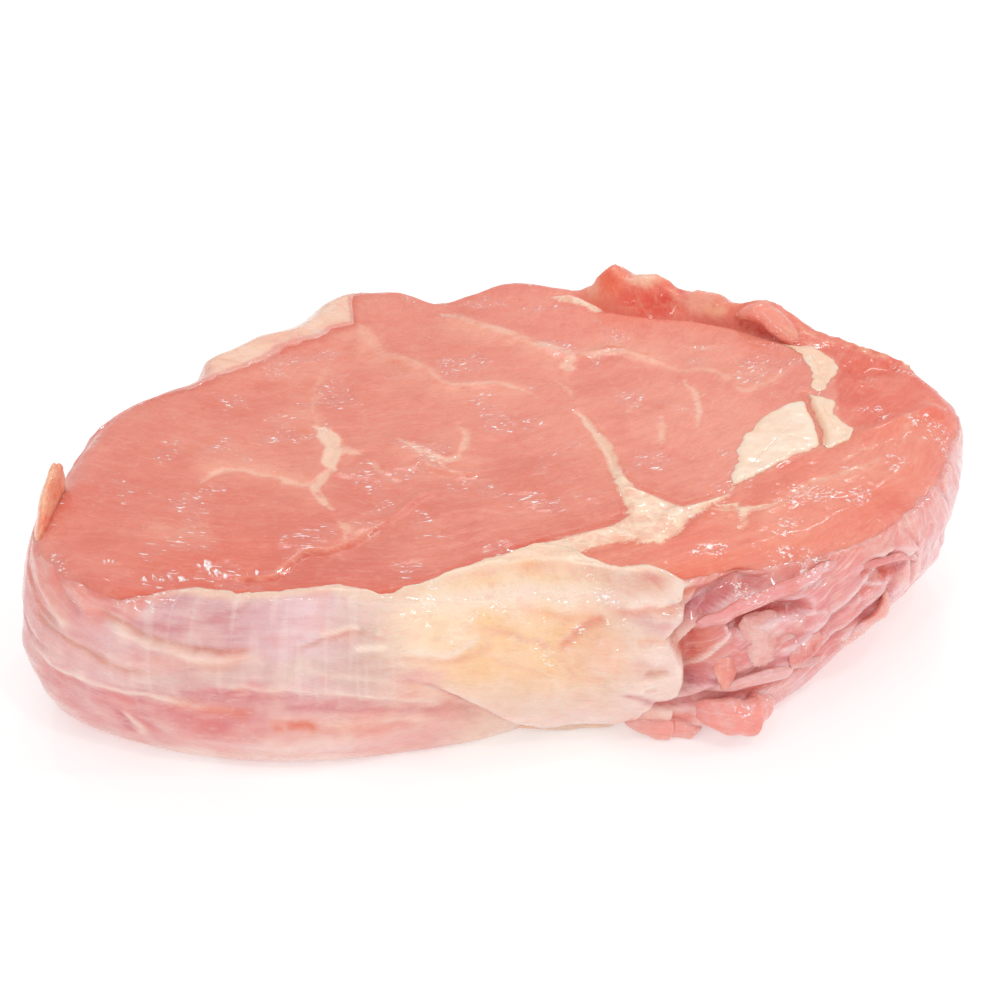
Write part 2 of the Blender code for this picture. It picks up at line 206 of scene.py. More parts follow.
def nearLine(line, places, reach=1e6):
    # for places within reach of a chain of points: distance, how far along from 0 to 1, and the side as -1 or 1
    nearest = np.full(len(places), farAway)
    along = np.zeros(len(places))
    side = np.ones(len(places))
    close = ((places > line.min(0) - reach) & (places < line.max(0) + reach)).all(1)
    spots = places[close]
    best, where, hand = nearest[close], along[close], side[close]
    for k, (start, end) in enumerate(zip(line, line[1:])):
        run = end - start
        share = np.clip((spots - start) @ run / max(run @ run, 1e-9), 0, 1)
        gap = spots - start - share[:, None] * run
        away = np.hypot(gap[:, 0], gap[:, 1])
        closer = away < best
        where = np.where(closer, (k + share) / (len(line) - 1), where)
        hand = np.where(closer, np.sign(run[0] * gap[:, 1] - run[1] * gap[:, 0] + 1e-12), hand)
        best = np.minimum(best, away)
    nearest[close], along[close], side[close] = best, where, hand
    return nearest, along, side


def bellLine(points, lift, halfWidth, places):
    # a groove or ridge: lift times the bell of the distance to a smooth line, tapered at both ends
    away, along, _ = nearLine(curveThrough(points), places, halfWidth * 3)
    return lift * bell(away, halfWidth) * tapered(along, 0.15)


def outlineField(corners, places, reach=8.0):
    # signed distance to a closed outline, positive inside, where a ray to one side crosses it an odd number of times
    ring = np.vstack([corners, corners[:1]]).astype(float)
    away = nearLine(ring, places, reach)[0]
    inside = np.zeros(len(places), bool)
    for (x0, y0), (x1, y1) in zip(ring, ring[1:]):
        crosses = (y0 > places[:, 1]) != (y1 > places[:, 1])
        inside ^= crosses & (places[:, 0] < x0 + (places[:, 1] - y0) * (x1 - x0) / (y1 - y0 + 1e-12))
    return np.where(inside, away, -away)


latticeKeys = np.array([73856093, 19349663, 83492791])  # large primes that spread whole points over the slopes


def noise(points, size, seed):
    # smooth lattice noise from -1 to 1: random slopes at whole points, blended by a fifth-power curve
    slopes = np.random.default_rng(seed).normal(size=(4096, 3))
    slopes /= np.linalg.norm(slopes, axis=1)[:, None]
    place = points / size + seed * 7.31
    whole = np.floor(place).astype(np.int64)
    part = place - whole
    fade = part**3 * (part * (part * 6 - 15) + 10)
    total = np.zeros(len(points))
    for corner in range(8):
        step = np.array([corner & 1, corner >> 1 & 1, corner >> 2])
        key = (whole + step) @ latticeKeys
        key = (key ^ (key >> 11)) & 4095
        weight = np.prod(np.where(step == 1, fade, 1 - fade), axis=1)
        total += weight * ((part - step) * slopes[key]).sum(1)
    return total * 1.6


def fractal(points, size, octaves, seed):
    # noise at several sizes, each half as large and half as strong as the one before
    return sum(noise(points, size / 2**k, seed + k) / 2**k for k in range(octaves))


def ridged(points, size, octaves, seed):
    # folded noise: sharp ridges between rounded hollows, from about -1 to 1
    total = sum((1 - 2 * np.abs(noise(points, size / 2**k, seed + k))) / 2**k for k in range(octaves))
    return total / 1.6 - 0.25


def drift(points, reach, size, seeds, octaves=1):
    # an offset that wanders by noise: reach times one noise for each direction
    return reach * np.stack([fractal(points, size, octaves, seed) for seed in seeds], 1)


def polar(radius, angle, height):
    # points from a radius, an angle and a height
    return np.stack([radius * np.cos(angle), radius * np.sin(angle), height], -1)


def linear(colour):
    # a seen colour, from 0 to 255, as the shader's linear values, less the white sheen that wetness adds to it
    share = np.asarray(colour, float) / 255
    return np.maximum(np.where(share <= 0.04045, share / 12.92, ((share + 0.055) / 1.055) ** 2.4) - 0.05, 0.01)


def paint(tint, *layers):
    # for each layer, a colour and an amount for each point: tint + amount * (colour - tint)
    for colour, amount in layers:
        tint += np.clip(amount, 0, 1)[:, None] * (linear(colour) - tint)


def toFrame(points):
    # millimetres from the heart to metres in the frame
    return (points + np.array([*sliceForm["heart"], 0.0])) * 0.001


# the slice's surface


def station(column, angle):
    # one column of the stations, read at each angle
    return around([row[column] for row in sliceForm["stations"]], angle)


def rimRadius(angle):
    # the rim: the stations' radius + a bell for each small lobe or notch
    radius = station(0, angle)
    for lobeAngle, lift, spread in sliceForm["rimLobes"]:
        radius = radius + lift * bell((np.degrees(angle) - lobeAngle + 180) % 360 - 180, spread)
    return radius


def behindCrease(x, y):
    # how far behind the flap's crease a place lies, how near its end, and the place's angle
    crease = curveThrough(flapForm["crease"])
    creaseAngle = np.degrees(np.arctan2(crease[:, 1], crease[:, 0]))
    order = np.argsort(creaseAngle)
    degrees = np.degrees(np.arctan2(y, x))
    gap = np.hypot(x, y) - np.interp(degrees, creaseAngle[order], np.hypot(*crease.T)[order])
    first = creaseAngle.min()
    return gap, ease(first - 4, first + 4, degrees), degrees


def faceHeight(x, y):
    # the upper cut face: thickness + dome + lines + the flap's lobes behind its crease - the torn step
    form = sliceForm
    places = np.stack([x, y], 1)
    wide, deep = form["domeSpread"]
    height = form["thickness"] + form["dome"] * (np.cos(x / wide) * np.cos(y / deep) - 1)
    for points, lift, halfWidth in [*faceLines, (flapForm["crease"], -flapForm["depth"], flapForm["halfWidth"])]:
        height += bellLine(points, lift, halfWidth, places)
    gap, beside, degrees = behindCrease(x, y)
    pocketAngle, pocketSpread, pocketDepth = flapForm["pocket"]
    gap = gap - pocketDepth * bell(degrees - pocketAngle, pocketSpread)
    behind = ease(*flapForm["rise"], gap)
    for lobeAngle, lobeHeight, spread in flapForm["lobes"]:
        height += lobeHeight * bell(degrees - lobeAngle, spread) * behind * beside
    away, along, side = nearLine(curveThrough(ledgeForm["line"]), places, ledgeForm["reach"])
    below = ease(-ledgeForm["edge"], ledgeForm["edge"], -side * away) * ease(ledgeForm["reach"], 1.0, away)
    height -= ledgeForm["drop"] * below * tapered(along, 0.1)
    return height


def padRelief(degrees, height):
    # the fat pad, 0 to 1: it fades in on the left and ends in a lip on the right and below
    right = np.interp(height, *zip(*padForm["rightEdge"]))
    lower = np.interp(degrees, *zip(*padForm["lowerEdge"]))
    leftPart = ease(*padForm["start"], degrees)
    rightPart = ease(right + padForm["edgeDegrees"], right - padForm["edgeDegrees"], degrees)
    lowerPart = ease(lower - padForm["edgeHeight"], lower + padForm["edgeHeight"], height)
    return leftPart * rightPart * lowerPart


# millimetres to a degree round the wall, and to a millimetre of height
wallScale = np.array([math.radians(1) * np.mean([row[0] for row in sliceForm["stations"]]), 1.0])


def wallDegrees(angle):
    # angles run from 180 at the left end through 270 in front and 360 on the right to 540
    return (np.degrees(angle) - 180) % 360 + 180


def wallRelief(angle, height, points):
    # pad + ripples + the main folds, on edges that wander a little, fading out at both rims
    degrees = wallDegrees(angle)
    places = np.stack([degrees, height], 1) * wallScale
    places = places + drift(points, 0.6, 5.0, (3, 4))
    relief = padForm["lift"] * padRelief(degrees, height)
    for waves, lift, phase, perRadian in sliceForm["ripples"]:
        relief += lift * np.sin(waves * angle + phase + height / perRadian)
    for line, lift, halfWidth in wallLines:
        relief += bellLine(np.array(line) * wallScale, lift, halfWidth, places)
    return relief * ease(0.0, 3.0, height) * ease(0.0, 2.0, sliceForm["thickness"] - height)


def profileLengths(angle):
    # along the profile from the edge of the upper face: end of the rounded rim, start of the foot, end of the foot
    rimRound = station(3, angle)
    foot = sliceForm["footRound"]
    footStart = rimRound * math.pi / 2 + sliceForm["thickness"] - rimRound - foot
    return rimRound, footStart, footStart + foot * math.pi / 2


def surfaceAt(angle, walked):
    # the surface a walked distance past the edge of the upper face: before 0 the face, then the rounded rim,
    # the bulging wall and the foot, then the lower face. Radius = rim + bulge - tuck - roundings + relief
    form = sliceForm
    thickness, foot = form["thickness"], form["footRound"]
    belly, tuck = station(1, angle), station(2, angle)
    rimRound, footStart, length = profileLengths(angle)
    rim = rimRadius(angle)
    over = np.clip(walked / rimRound, 0, math.pi / 2)
    under = np.clip((walked - footStart) / foot, 0, math.pi / 2)
    depth = rimRound * (1 - np.cos(over)) + foot * np.sin(under)
    depth += np.clip(walked - rimRound * math.pi / 2, 0, thickness - rimRound - foot)
    down = np.clip(depth / thickness, 0, 1)
    level = 1 - down
    fillet = rimRound * (1 - np.sin(over)) + foot * (1 - np.cos(under))
    radius = rim + belly * (4 * down * level) ** form["bellyShape"] - tuck * down ** form["tuckShape"] - fillet
    onWall = (walked > 0) & (walked < length)
    relief = np.zeros(len(angle))
    grain = polar(rim, angle, thickness * level)
    relief[onWall] = wallRelief(angle[onWall], (thickness * level)[onWall], grain[onWall])
    radius = radius + relief + np.minimum(walked, 0) - np.maximum(walked - length, 0)
    points = polar(radius, angle, walked * 0)
    points[:, 2] = np.where(walked < length, faceHeight(*points[:, :2].T) * level, 0)
    return SimpleNamespace(
        points=points,
        normal=polar(np.sin(over) * np.cos(under), angle, np.cos(over) - np.sin(under)),
        edge=np.where(walked < 0, rimRound - walked, fillet - depth),
        level=thickness * level, degrees=wallDegrees(angle), beneath=walked - length, onWall=onWall,
    )


def sparkle(points):
    # the strongest of the bells round each gathering of moisture and painted glints, on edges that wander
    places = np.stack([wallDegrees(np.arctan2(points[:, 1], points[:, 0])), points[:, 2]], 1) * wallScale
    places = places + drift(points, 0.8, 1.6, (31, 32))
    return np.max([spot(places, np.array(at) * wallScale, radius) for *at, radius in sparkleSpots], axis=0)


def skinDepth(at):
    # how far inside the skin's wandering border a place lies, on the upper face and wall, and on the lower face
    reach = np.interp(at.degrees % 360, *zip(*skinReach))
    return np.minimum(reach - at.edge, 2.2 - at.beneath) + 0.55 * fractal(at.points, 3.0, 3, 83)


def flip(corners, sizes):
    # the corner list with each face turned over
    starts = np.concatenate([[0], np.cumsum(sizes)[:-1]])
    ends = np.repeat(starts + sizes - 1, sizes)
    return corners[np.repeat(starts, sizes) + ends - np.arange(len(corners))]


def gridPiece(name, rings, ends=None):
    # rows of points closed round each ring; ends are the two closing points, or None where the last row
    # joins the first. Where the signed volume comes out below 0, the faces are turned over
    count, columns = rings.shape[:2]
    points = rings.reshape(-1, 3)
    index = np.arange(count * columns).reshape(count, columns)
    if ends is None:
        index = np.vstack([index, index[:1]])
    after = np.roll(index, -1, axis=1)
    quads = np.stack([index[:-1], index[1:], after[1:], after[:-1]], -1).reshape(-1, 4)
    corners, sizes = quads.ravel(), np.full(len(quads), 4)
    if ends is not None:
        top = np.stack([np.full(columns, len(points)), index[0], after[0]], 1)
        bottom = np.stack([np.full(columns, len(points) + 1), after[-1], index[-1]], 1)
        corners = np.concatenate([corners, top.ravel(), bottom.ravel()])
        sizes = np.concatenate([sizes, np.full(2 * columns, 3)])
        points = np.vstack([points, *ends])
    a, b, c, d = (points[quads[:, k]] for k in range(4))
    if (np.cross(a, b) * c).sum() + (np.cross(a, c) * d).sum() < 0:
        corners = flip(corners, sizes)
    mesh = bpy.data.meshes.new(name)
    mesh.vertices.add(len(points))
    mesh.vertices.foreach_set("co", toFrame(points).astype(np.float32).ravel())
    mesh.loops.add(len(corners))
    mesh.loops.foreach_set("vertex_index", corners.astype(np.int32))
    mesh.polygons.add(len(sizes))
    mesh.polygons.foreach_set("loop_start", np.concatenate([[0], np.cumsum(sizes)[:-1]]).astype(np.int32))
    mesh.update(calc_edges=True)
    mesh.shade_smooth()
    piece = bpy.data.objects.new(name, mesh)
    bpy.context.scene.collection.objects.link(piece)
    return piece


def setFields(piece, fields):
    # a number, place or colour for each point, which the material reads by its name
    for name, values in fields.items():
        values = np.asarray(values, np.float32)
        kind, part = ("FLOAT_VECTOR", "vector") if values.ndim == 2 else ("FLOAT", "value")
        if name.endswith("Tint"):
            kind, part = "FLOAT_COLOR", "color"
            values = np.c_[np.clip(values, 0, 1), np.ones(len(values), np.float32)]
        piece.data.attributes.new(name, kind, "POINT").data.foreach_set(part, values.ravel())


def hollows(relief, across, down):
    # how deep each place of a grid lies below its neighbours: the mean over a box, taken twice, less itself
    mean = relief
    for _ in range(2):
        mean = sum(np.roll(mean, k, 1) for k in range(-across, across + 1)) / (2 * across + 1)
        tall = np.pad(mean, ((down, down), (0, 0)), "edge")
        mean = sum(tall[k:k + len(relief)] for k in range(2 * down + 1)) / (2 * down + 1)
    return mean - relief


def turns(columns):
    # angles round the slice: turn - crowding * sin(turn - dense side), so that they are closer on the folded side
    turn = np.linspace(0, math.tau, columns, endpoint=False)
    return (turn - sliceForm["crowding"] * np.sin(turn - math.radians(sliceForm["denseSide"]))) % math.tau


# the cut muscle: both cut faces, with a hidden core behind the skin

cutForm = {
    "columns": 560,
    "rows": (132, 12, 8, 3, 20),  # face, rim, wall, foot and lower face
    "rowPower": 0.9,  # below 1, the face's rows are closer together by the rim
    "lowest": 0.15,
    "underShift": (1.8, -1.2),  # the lower face's pattern lies aside, as in the next slice
    "fibreHeart": (-12, 62),  # the fibres run round this place
    "fibreTurn": 75,  # millimetres along them to a radian
    "shade": (1.0, 0.92, 0.90),
    "capShade": (0.99, 0.90, 0.87),
}

capOutline = [  # the cap muscle's cut face
    (4.2, -41.9), (9.2, -40.9), (14.1, -40.5), (18.7, -41.6), (22.4, -39.6), (25, -37), (28, -35), (32, -33),
    (34.5, -28.5), (37.8, -26.9), (41.8, -24.5), (46.9, -21.2), (51.7, -18.9), (53.5, -19.5), (57.6, -17.5),
    (59.4, -13.8), (58, -8.6), (59.4, -4.3), (61, 2), (63.2, 6.1), (63.8, 10.4), (61.5, 15.6), (64, 17), (80, 22),
    (95, 0), (90, -30), (65, -55), (40, -65), (30, -60), (22, -57), (14, -54), (8.5, -49.4), (6.0, -45.4),
]

fatIslands = [  # cream fat in the upper cut face, level with it
    [(16.9, -17.0), (18.0, -22.0), (18.7, -25.6), (21.6, -28.6), (24.6, -32.4), (28.6, -31.8), (32.9, -30.2),
     (34.5, -27.8), (32.2, -31.6), (28.4, -33.6), (25.0, -35.8), (22.6, -39.0), (18.8, -42.0), (15.4, -41.2),
     (14.2, -39.0), (15.0, -36.0), (16.0, -31.3), (15.9, -24.0)],
    [(-4.0, -39.4), (0.2, -38.2), (6.9, -36.8), (11.0, -36.0), (13.9, -34.5), (15.8, -33.0), (16.4, -38.0),
     (15.2, -40.2), (9.2, -41.0), (4.8, -42.2), (3.0, -46.0), (-2.0, -45.0)],
    [(20.6, 44.0), (25.2, 43.0), (27.6, 39.7), (29.0, 36.6), (26.9, 36.2), (25.4, 39.3), (22.0, 41.6)],
    [(34.0, -33.0), (30.0, -33.4), (34.6, -34.4), (38.6, -34.4), (35.6, -35.4), (33.0, -37.4), (33.4, -35.0)],
]

islandForms = {  # fat that stands a little above the cut face
    "fatBlock": {
        "outline": [(54.3, -2.6), (49.4, -4.4), (43.8, -9.2), (39.1, -15.4), (37.1, -20.7), (34.5, -27.4),
                    (37.8, -26.1), (41.8, -23.7), (46.9, -20.4), (51.7, -18.1), (53.2, -12.0), (53.6, -6.7)],
        "spine": [(39.5, -22.0), (51.5, -8.0)], "rise": 0.4, "root": 2.0, "colour": (253, 220, 196),
    },
    "fatWedge": {
        "outline": [(55.2, -1.0), (54.6, -6.5), (54.4, -12.0), (53.0, -18.6), (57.4, -16.9), (58.9, -13.8),
                    (57.5, -8.6), (58.9, -4.3)],
        "spine": [(56.0, -15.0), (56.3, -4.5)], "rise": 0.3, "root": 2.0, "colour": (253, 216, 190),
    },
    "fatStrip": {
        "outline": [(55.8, 17.7), (57.5, 15.4), (58.5, 11.5), (57.7, 4.2), (56.6, 1.6), (57.8, -0.6), (60.3, 2.9),
                    (62.7, 6.1), (63.2, 10.4), (61.0, 15.1), (58.7, 17.1)],
        "spine": [(59.4, 4.6), (60.0, 12.4)], "rise": 0.28, "root": 2.0, "colour": (251, 206, 178),
    },
}

seams = [  # fat threads: points, half-width, strength, and how strongly the flesh beside it is paler, by its sign
    ([(-22.6, 28.3), (-25.2, 20.4), (-26.6, 15.6), (-27.8, 9.5), (-27.6, 2.6)], 0.6, 0.30, 0.5),
    ([(-28.3, 5.0), (-27.5, 2.3), (-26.8, -2.2), (-28.0, -7.1), (-27.9, -9.7)], 1.25, 0.95, 0.4),
    ([(-27.9, -8.7), (-30.1, -11.9), (-31.9, -15.4), (-31.2, -19.0), (-30.0, -22.0)], 0.75, 0.7, 0.4),
    ([(-27.0, -1.0), (-24.5, -4.6), (-22.4, -6.4)], 0.6, 0.55, 0.3),
    ([(-30.1, -11.9), (-33.4, -13.0), (-37.6, -9.9), (-42.0, -7.0), (-46.0, -6.2), (-49.8, -8.6)], 0.5, 0.55, 0.9),
    ([(-22.0, -8.0), (-20.4, -12.4), (-18.2, -16.8)], 0.35, 0.4, 0.2),
    ([(-15.8, -2.4), (-13.8, -5.5), (-11.7, -8.5), (-10.2, -10.7), (-7.7, -10.4), (-6.2, -8.2)], 0.75, 0.6, 0.7),
    ([(-7.2, -10.0), (-5.6, -7.0), (-4.7, -3.4), (-4.9, 0.8)], 0.6, 0.5, -0.4),
    ([(-10.4, -10.7), (-9.8, -14.0), (-7.6, -16.2)], 0.3, 0.5, 0.0),
    ([(-15.6, 40.6), (-14.7, 37.7), (-13.1, 28.5), (-10.2, 25.3), (-7.3, 21.0), (-3.9, 14.0)], 0.9, 0.25, 0.9),
    ([(-6.0, 17.0), (-3.9, 14.0), (0.5, 13.1), (4.6, 13.0), (7.1, 10.6), (9.7, 7.6)], 0.4, 0.5, 0.8),
    ([(-0.3, 41.2), (5.1, 35.8), (9.9, 30.9), (12.8, 26.8), (17.5, 22.4), (19.2, 19.8)], 0.9, 0.45, 1.0),
    ([(18.6, 21.0), (22.4, 19.9), (26.7, 20.5), (30.7, 16.6), (35.8, 11.4)], 0.8, 0.4, -1.0),
    ([(30.7, 16.6), (35.8, 11.4), (41.0, 10.7), (43.9, 5.3), (45.3, 2.1), (49.5, 4.2), (55.4, 9.1)], 0.5, 0.35, -0.8),
    ([(19.5, 21.2), (17.2, 16.5), (18.4, 15.4)], 0.8, 0.6, 0.5),
    ([(35.8, 7.2), (36.3, 2.0), (35.4, -3.0), (34.0, -7.6)], 0.42, 0.65, 0.3),
    ([(28.8, -4.6), (27.6, -9.0), (25.9, -13.9)], 0.45, 0.5, 0.3),
    ([(14.1, 11.7), (15.8, 7.0), (15.6, 5.2)], 0.3, 0.4, 0.0),
    ([(23.1, -1.7), (26.4, 1.5)], 0.5, 0.35, 0.3),
    ([(15.1, 0.7), (16.4, -5.1), (17.3, -12.4), (17.1, -18.3), (17.2, -25.0)], 0.65, 0.95, 0.3),
    ([(37.5, 20.5), (42.0, 18.5), (47.5, 18.0)], 0.35, 0.25, 0.4),
    ([(-60.0, -20.0), (-55.0, -22.5), (-49.0, -22.0)], 0.3, 0.25, 0.4),
    ([(-8.0, -27.0), (-2.0, -29.0), (5.0, -27.5)], 0.3, 0.25, 0.2),
    ([(-30.0, -31.6), (-28.4, -28.6), (-29.6, -26.0)], 0.7, 0.45, 0.3),
    ([(29.4, -33.9), (33.5, -34.6), (37.4, -35.2), (41.4, -33.6)], 0.45, 0.6, 0.5),
    ([(33.5, -34.6), (33.6, -38.0), (32.4, -41.0)], 0.4, 0.5, 0.4),
    ([(41.4, -33.6), (46.8, -29.6), (50.8, -28.4), (55.7, -26.7), (60.7, -23.9)], 0.5, 0.45, 0.6),
    ([(66.0, -20.0), (68.0, -15.5), (69.5, -11.0)], 0.4, 0.35, 0.4),
    ([(54.6, -24.0), (58.0, -21.0), (61.0, -20.4)], 0.3, 0.4, 0.3),
]

meatSpots = [  # x, y, spread, colour of the cut muscle
    (-52, -12, 20, (234, 148, 131)), (-48, -34, 12, (231, 124, 106)), (-66, -22, 12, (230, 134, 118)),
    (-24, -18, 20, (231, 144, 127)), (-34, -38, 9, (224, 124, 110)), (-10, -30, 12, (228, 136, 120)),
    (-5, 22, 20, (236, 148, 130)), (-6, -4, 14, (236, 154, 137)), (22, 2, 16, (239, 156, 139)),
    (42, 12, 14, (242, 161, 143)), (50, 18, 9, (240, 152, 135)), (25, 32, 14, (243, 153, 136)),
    (12, -26, 12, (230, 140, 122)), (34, -16, 9, (240, 158, 141)), (-30, 32, 14, (241, 154, 136)),
    (-54, 10, 14, (235, 148, 131)),
]

capSpots = [
    (38, -36, 8, (243, 160, 142)), (26, -43, 8, (243, 146, 126)), (12, -44, 6, (244, 168, 146)),
    (36, -45, 7, (245, 166, 146)), (50, -27, 8, (242, 148, 130)), (54, -37, 8, (241, 150, 132)),
    (62, -24, 8, (244, 160, 142)), (66, -4, 11, (236, 130, 114)), (73, -12, 6, (243, 142, 124)),
    (64, 12, 9, (238, 134, 117)), (72, -22, 6, (245, 166, 150)),
]

wetSpots = [  # x, y, spread: where moisture gathers on the cut face
    (-48.3, -11.6, 3.5), (-50.0, -37.5, 4.5), (-60.0, -35.0, 4.0), (17.9, 23.4, 3.5), (50.2, 10.9, 4.0),
    (31.2, -28.8, 3.0), (-13.3, -12.8, 2.4), (-9.0, -19.5, 3.0), (-36.7, -31.1, 2.4), (-26.0, -28.9, 3.0),
    (4.9, -17.1, 2.0), (40.4, 14.3, 2.6), (-54.2, -25.8, 3.0), (48.0, -33.0, 2.4), (54.0, -34.0, 2.4),
    (40.0, -40.0, 2.0), (70.0, -14.0, 1.8), (62.0, -28.0, 1.8),
]

gleamSpots = [  # x, y, spread: short upright glints near the front left rim of the cut face
    (-63.4, -34.3, 0.9), (-61.1, -35.4, 1.1), (-58.8, -35.9, 1.1), (-56.4, -37.0, 0.8), (-54.2, -37.4, 0.8),
    (-52.2, -33.6, 1.1), (-51.3, -35.6, 1.2), (-50.1, -37.4, 1.0), (-66.6, -29.4, 0.8), (-45.0, -37.6, 0.9),
]


def seamFields(places):
    # for the nearest fat thread: distance, half-width and strength; and the paler flesh beside all threads
    best, away = np.full((2, len(places)), farAway)
    width, power, pale = np.zeros((3, len(places)))
    for points, halfWidth, strength, blush in seams:
        gap, along, side = nearLine(curveThrough(points), places, 8.0)
        taper = 1.2 * halfWidth * (0.3 + 0.7 * tapered(along, 0.3))
        nearer = gap - taper < best
        best = np.where(nearer, gap - taper, best)
        away = np.where(nearer, gap, away)
        width = np.where(nearer, taper, width)
        power = np.where(nearer, strength, power)
        reach = np.where(side * blush < 0, 5.0, 1.3)
        pale = np.maximum(pale, abs(blush) * tapered(along, 0.15) * bell(gap, reach))
    return away, width, power, pale


def spotColours(spots, places):
    # colours blended by nearness: the sum of bell * colour over the sum of the bells
    weights = [spot(places, [x, y], spread) + 1e-4 / spread for x, y, spread, _ in spots]
    total = sum(weights)
    return sum(weight[:, None] * linear(row[3]) for weight, row in zip(weights, spots)) / total[:, None]


def cutRows(turn):
    # distances past the edge of the upper face: each span of the profile, divided into its number of rows
    rimRound, footStart, length = profileLengths(turn)
    inner = rimRadius(turn) - rimRound
    footRadius = np.hypot(*surfaceAt(turn, length).points[:, :2].T)
    stops = [-inner, 0 * inner, rimRound * math.pi / 2, footStart, length, length + footRadius]
    rows = []
    for start, end, count in zip(stops, stops[1:], cutForm["rows"]):
        shares = np.arange(1, count + 1) / count
        if not rows:
            shares = shares ** cutForm["rowPower"]
        rows += [start * (1 - share) + end * share for share in shares]
    return rows[:-1]


def shapeCut(at):
    # marks where the flap, cap, fat and threads are, and moves each point along its normal by the cut's relief
    points, edge, degrees = at.points, at.edge, at.degrees
    at.top = at.beneath <= 0
    at.depth = skinDepth(at)
    at.flat = points[:, :2]
    at.plan = at.flat + (~at.top)[:, None] * np.array(cutForm["underShift"])
    at.gap, at.beside, _ = behindCrease(*at.flat.T)
    at.flap = ease(0.3, 1.6, at.gap) * at.beside * ease(66, 60, degrees % 360) * at.top
    at.cap = ease(-0.6, 0.6, outlineField(capOutline, at.plan) + 0.4 * noise(points, 2.0, 85))
    fromHeart = at.plan + drift(points, 2.5, 22.0, (5, 6)) - cutForm["fibreHeart"]
    turn = np.arctan2(fromHeart[:, 0], -fromHeart[:, 1])
    at.flow = np.stack([turn * cutForm["fibreTurn"], np.hypot(*fromHeart.T), points[:, 2]], 1)
    # soft waves, bundles, the cap's coarse strands and the ragged flap
    at.strands = noise(at.flow * [0.2, 1, 1], 1.6, 55)
    at.torn = ridged(points, 4.0, 3, 61)
    rough = 0.26 * fractal(points, 12.0, 4, 41) + 0.05 * noise(at.flow * [0.3, 1, 1], 2.0, 45)
    capRough = 0.08 * at.strands + 0.20 * fractal(points, 7.0, 3, 51) + 0.05 * noise(points, 1.1, 52)
    rough = rough * (1 - at.cap) + at.cap * capRough
    rough = rough * (1 - at.flap) + at.flap * 0.6 * at.torn
    # fat stands up a little with a groove round it, and threads lie in low swellings
    fat = np.max([outlineField(island, at.plan) for island in fatIslands], axis=0)
    raised = np.max([outlineField(form["outline"], at.plan) for form in islandForms.values()], axis=0)
    at.fat = np.maximum(fat, raised - 0.7)
    rough += ease(-0.2, 1.2, fat) * (0.45 + 0.35 * fractal(points, 4.0, 2, 89)) - 0.25 * bell(fat + 0.4, 0.6)
    at.away, at.width, at.power, at.pale = seamFields(at.plan + drift(points, 0.5, 2.6, (81, 82)))
    rough += 0.22 * at.power * (bell(at.away, 2.2) - 1.5 * bell(at.away, 0.6))
    at.ragged = band(edge, -3, 0, 1.5, 5.0) * band(degrees, 363, 366, 375, 380) * at.top
    rough += 0.9 * at.ragged * ridged(points, 2.8, 2, 63)
    points += (rough * ease(1.5, -0.5, at.depth) * at.top)[:, None] * at.normal
    # behind the skin the core draws back
    hidden = 1.2 * ease(0.3, 2.2, at.depth) + 1.4 * ease(2.5, 6.0, at.depth)
    points -= (hidden * at.top)[:, None] * at.normal
    points[:, 2] = np.maximum(points[:, 2], cutForm["lowest"])


